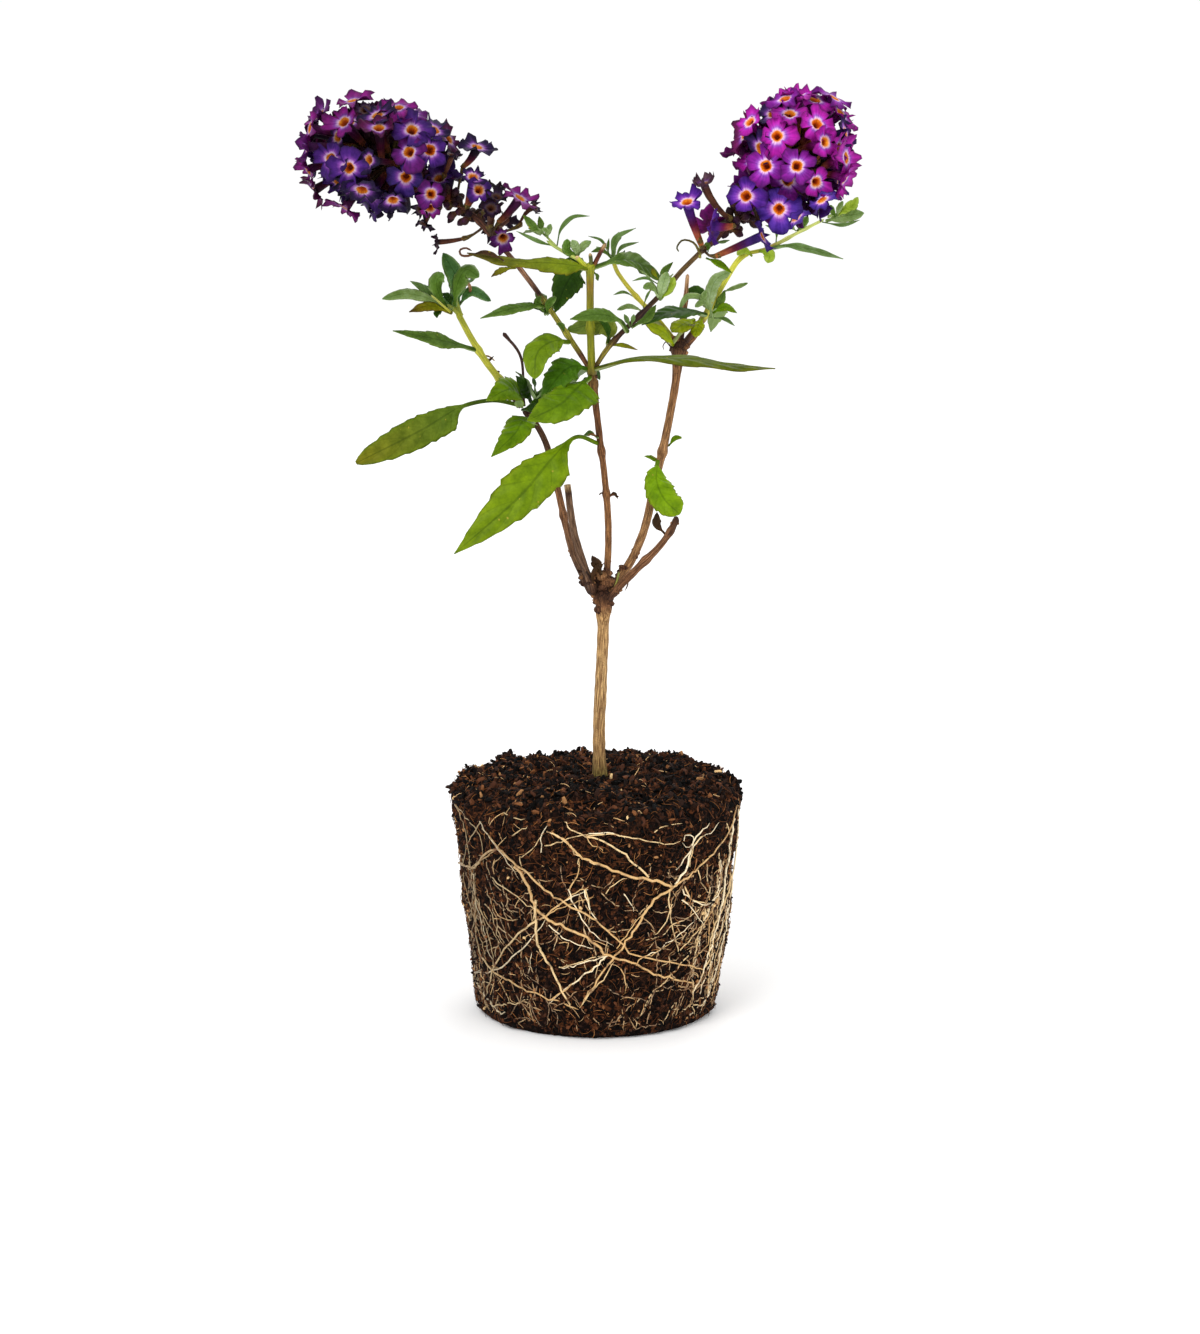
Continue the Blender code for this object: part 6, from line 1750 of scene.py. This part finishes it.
def add_floret(basket, axis, mouth, aim, bloom, tint, glow, draw, foot=None):
    """A floret, its calyx and the short stalk that carries it from the spike."""
    aim = Vector(aim).normalized()
    index = nearest_on(axis, foot or mouth - aim * TUBE_LENGTH)
    root = Vector(axis[max(0, index - STALK_BELOW)])
    length = min(TUBE_LENGTH * bloom.size ** LENGTH_POWER, (mouth - root).length * ROOM_SHARE)
    foot = foot or (mouth - aim * length).lerp(root, FOOT_BACK)
    lay_floret(basket, mouth, foot, aim, bloom, tint, glow, draw)
    knee = root.lerp(foot, KNEE_AT) + (foot - mouth) * KNEE_SAG
    line = resampled([root, knee, foot, foot.lerp(mouth, CALYX_SHARE)], len(STALK_SHAPE))
    lay_stem(stalks, line, np.array(STALK_SHAPE) * MM, STALK_SIDES, STALK_RIDGE, STALK_SKIN,
             seed=draw.uniform(0.0, HIGHEST_SEED))


def lay_bud(basket, root, tip, draw):
    """A closed club-shaped bud, dark with a wine-red foot."""
    rings = len(BUD_RADII)
    path = resampled([root, root.lerp(tip, 0.5), tip], rings)
    points, faces = tube(path, np.array(BUD_RADII) * MM * draw.uniform(*BUD_SIZES), BUD_SIDES)
    tones = blend(np.linspace(0.0, 1.0, rings), (0.0, 0.5, 1.0), shaded(BUD_TONES, DEEP))
    tints = np.repeat(tones * draw.uniform(*BUD_LIGHT), BUD_SIDES, axis=0)
    basket.add(points, faces, tint=tints, petal=points / MM)


def inside(tree, place):
    """Whether a place is inside the closed mass of a search tree."""
    spot, normal, _, _ = tree.find_nearest(place)
    return (place - spot).dot(normal) < 0.0


def fill_mass(basket, axis, node, own, other, mouths, room, tries, dead_share, spike, front, draw):
    """Florets wherever the mass still has room for one, on its front only if front is set."""
    low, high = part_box(node)
    heart = (low + high) / 2
    for _ in range(tries):
        ray = Vector([draw.gauss(0.0, 1.0) for _ in range(3)]).normalized()
        mouth = own.ray_cast(heart, ray)[0]
        if mouth is None or inside(other, mouth) or min((mouth - spot).length for spot in mouths) < room:
            continue
        if not front and mouth.y < heart.y - BACK_FROM:
            continue
        mouths.append(mouth)
        index = nearest_on(axis, mouth)
        spine = Vector(axis[index] - axis[max(0, index - 1)] if index else axis[1] - axis[0]).normalized()
        aim = (mouth - Vector(axis[index])).normalized() + spine * AIM_AHEAD
        aim += Vector([draw.uniform(-AIM_SPREAD, AIM_SPREAD) for _ in range(3)])
        kind = "dead" if draw.random() < dead_share else draw.choice(FILLERS)
        height = (mouth.z - low.z) / (high.z - low.z)
        rank = (1.0 - height) * LAST_TINT + draw.uniform(*TINT_DRIFT)
        tint = spike.tints[min(LAST_TINT, max(0, int(rank)))]
        drawn_in = draw.uniform(*HEAD_DRAWN_IN) if front else TAIL_DRAWN_IN
        glow = spike.glow * draw.uniform(DIMMEST, 1.0)
        add_floret(basket, axis, mouth.lerp(heart, drawn_in), aim, BLOOMS[kind], tint, glow, draw)


def seen_mouth(spike, spot, head, tail):
    """Where a floret that the photograph shows opens: on the mass that its line of sight meets first."""
    ray = sight_line(spot.px, spot.py)
    hits = [mass.ray_cast(CAMERA_PLACE, ray)[0] for mass in (head, tail)]
    hits = [hit for hit in hits if hit is not None]
    if hits:
        return min(hits, key=lambda place: place.y)
    beside = head.find_nearest(seen_at(spot.px, spot.py, spike.axis[1][1]))[0]
    return seen_at(spot.px, spot.py, beside.y / MM)


def fill_heart_with_shade_buds(basket, axis, draw):
    """Dark buds all round the axis, which close the gaps between the florets: buds, and painted shade in the
    heart of the head.
    """
    for _ in range(INNER_SHADE_BUDS):
        index = draw.randint(BUDS_FROM, BUDS_UNTIL)
        root = Vector(axis[index])
        way = Vector([draw.gauss(0.0, 1.0) for _ in range(3)]).normalized()
        longest = np.interp(index / AXIS_STEPS, BUD_SHARES, BUD_LENGTHS)
        lay_bud(basket, root, root + way * draw.uniform(*BUD_REACH) * longest * MM, draw)


def grow_spike(spike, draw):
    """All the florets of one flower head and its tail."""
    basket = Basket(spike.name)
    axis = resampled((np.array(spike.axis) + STEM_OFFSET) * MM, AXIS_STEPS)
    radii = np.linspace(AXIS_FOOT, AXIS_TIP, AXIS_STEPS) * MM
    lay_stem(stalks, axis, radii, AXIS_SIDES, AXIS_RIDGE, AXIS_SKIN, AXIS_KNOTS)
    head, tail = search_tree(spike.head), search_tree(spike.tail)
    mouths = []
    for row in spike.spots:
        spot = Spot(*row)
        hit = seen_mouth(spike, spot, head, tail)
        mouths.append(hit)
        near = axis[nearest_on(axis, hit)][1]
        if spot.bloom == "torn" and not spot.foot:
            hit = hit.lerp(Vector(axis[nearest_on(axis, hit)]), TORN_DRAWN_IN)
        foot = seen_at(*spot.foot, (FOOT_OUT * hit.y + FOOT_IN * near) / MM) if spot.foot else None
        add_floret(basket, axis, hit, spot.aim, BLOOMS[spot.bloom], spot.tint, spike.glow, draw, foot)
    fill_mass(basket, axis, spike.head, head, tail, mouths, HEAD_ROOM, HEAD_TRIES, HEAD_DEAD, spike,
              True, draw)
    fill_mass(basket, axis, spike.tail, tail, head, mouths, spike.tail_room * MM, TAIL_TRIES, TAIL_DEAD,
              spike, False, draw)
    fill_heart_with_shade_buds(basket, axis, draw)
    print(spike.name, "florets:", len(mouths))
    hand_over(basket.piece(PETALS), "petals", spike.head, spike.tail)


for number, spike in enumerate(SPIKES):
    grow_spike(spike, random.Random(FIRST_SPIKE_SEED + number))
hand_over(stalks.piece(BARK), "brown_bark")
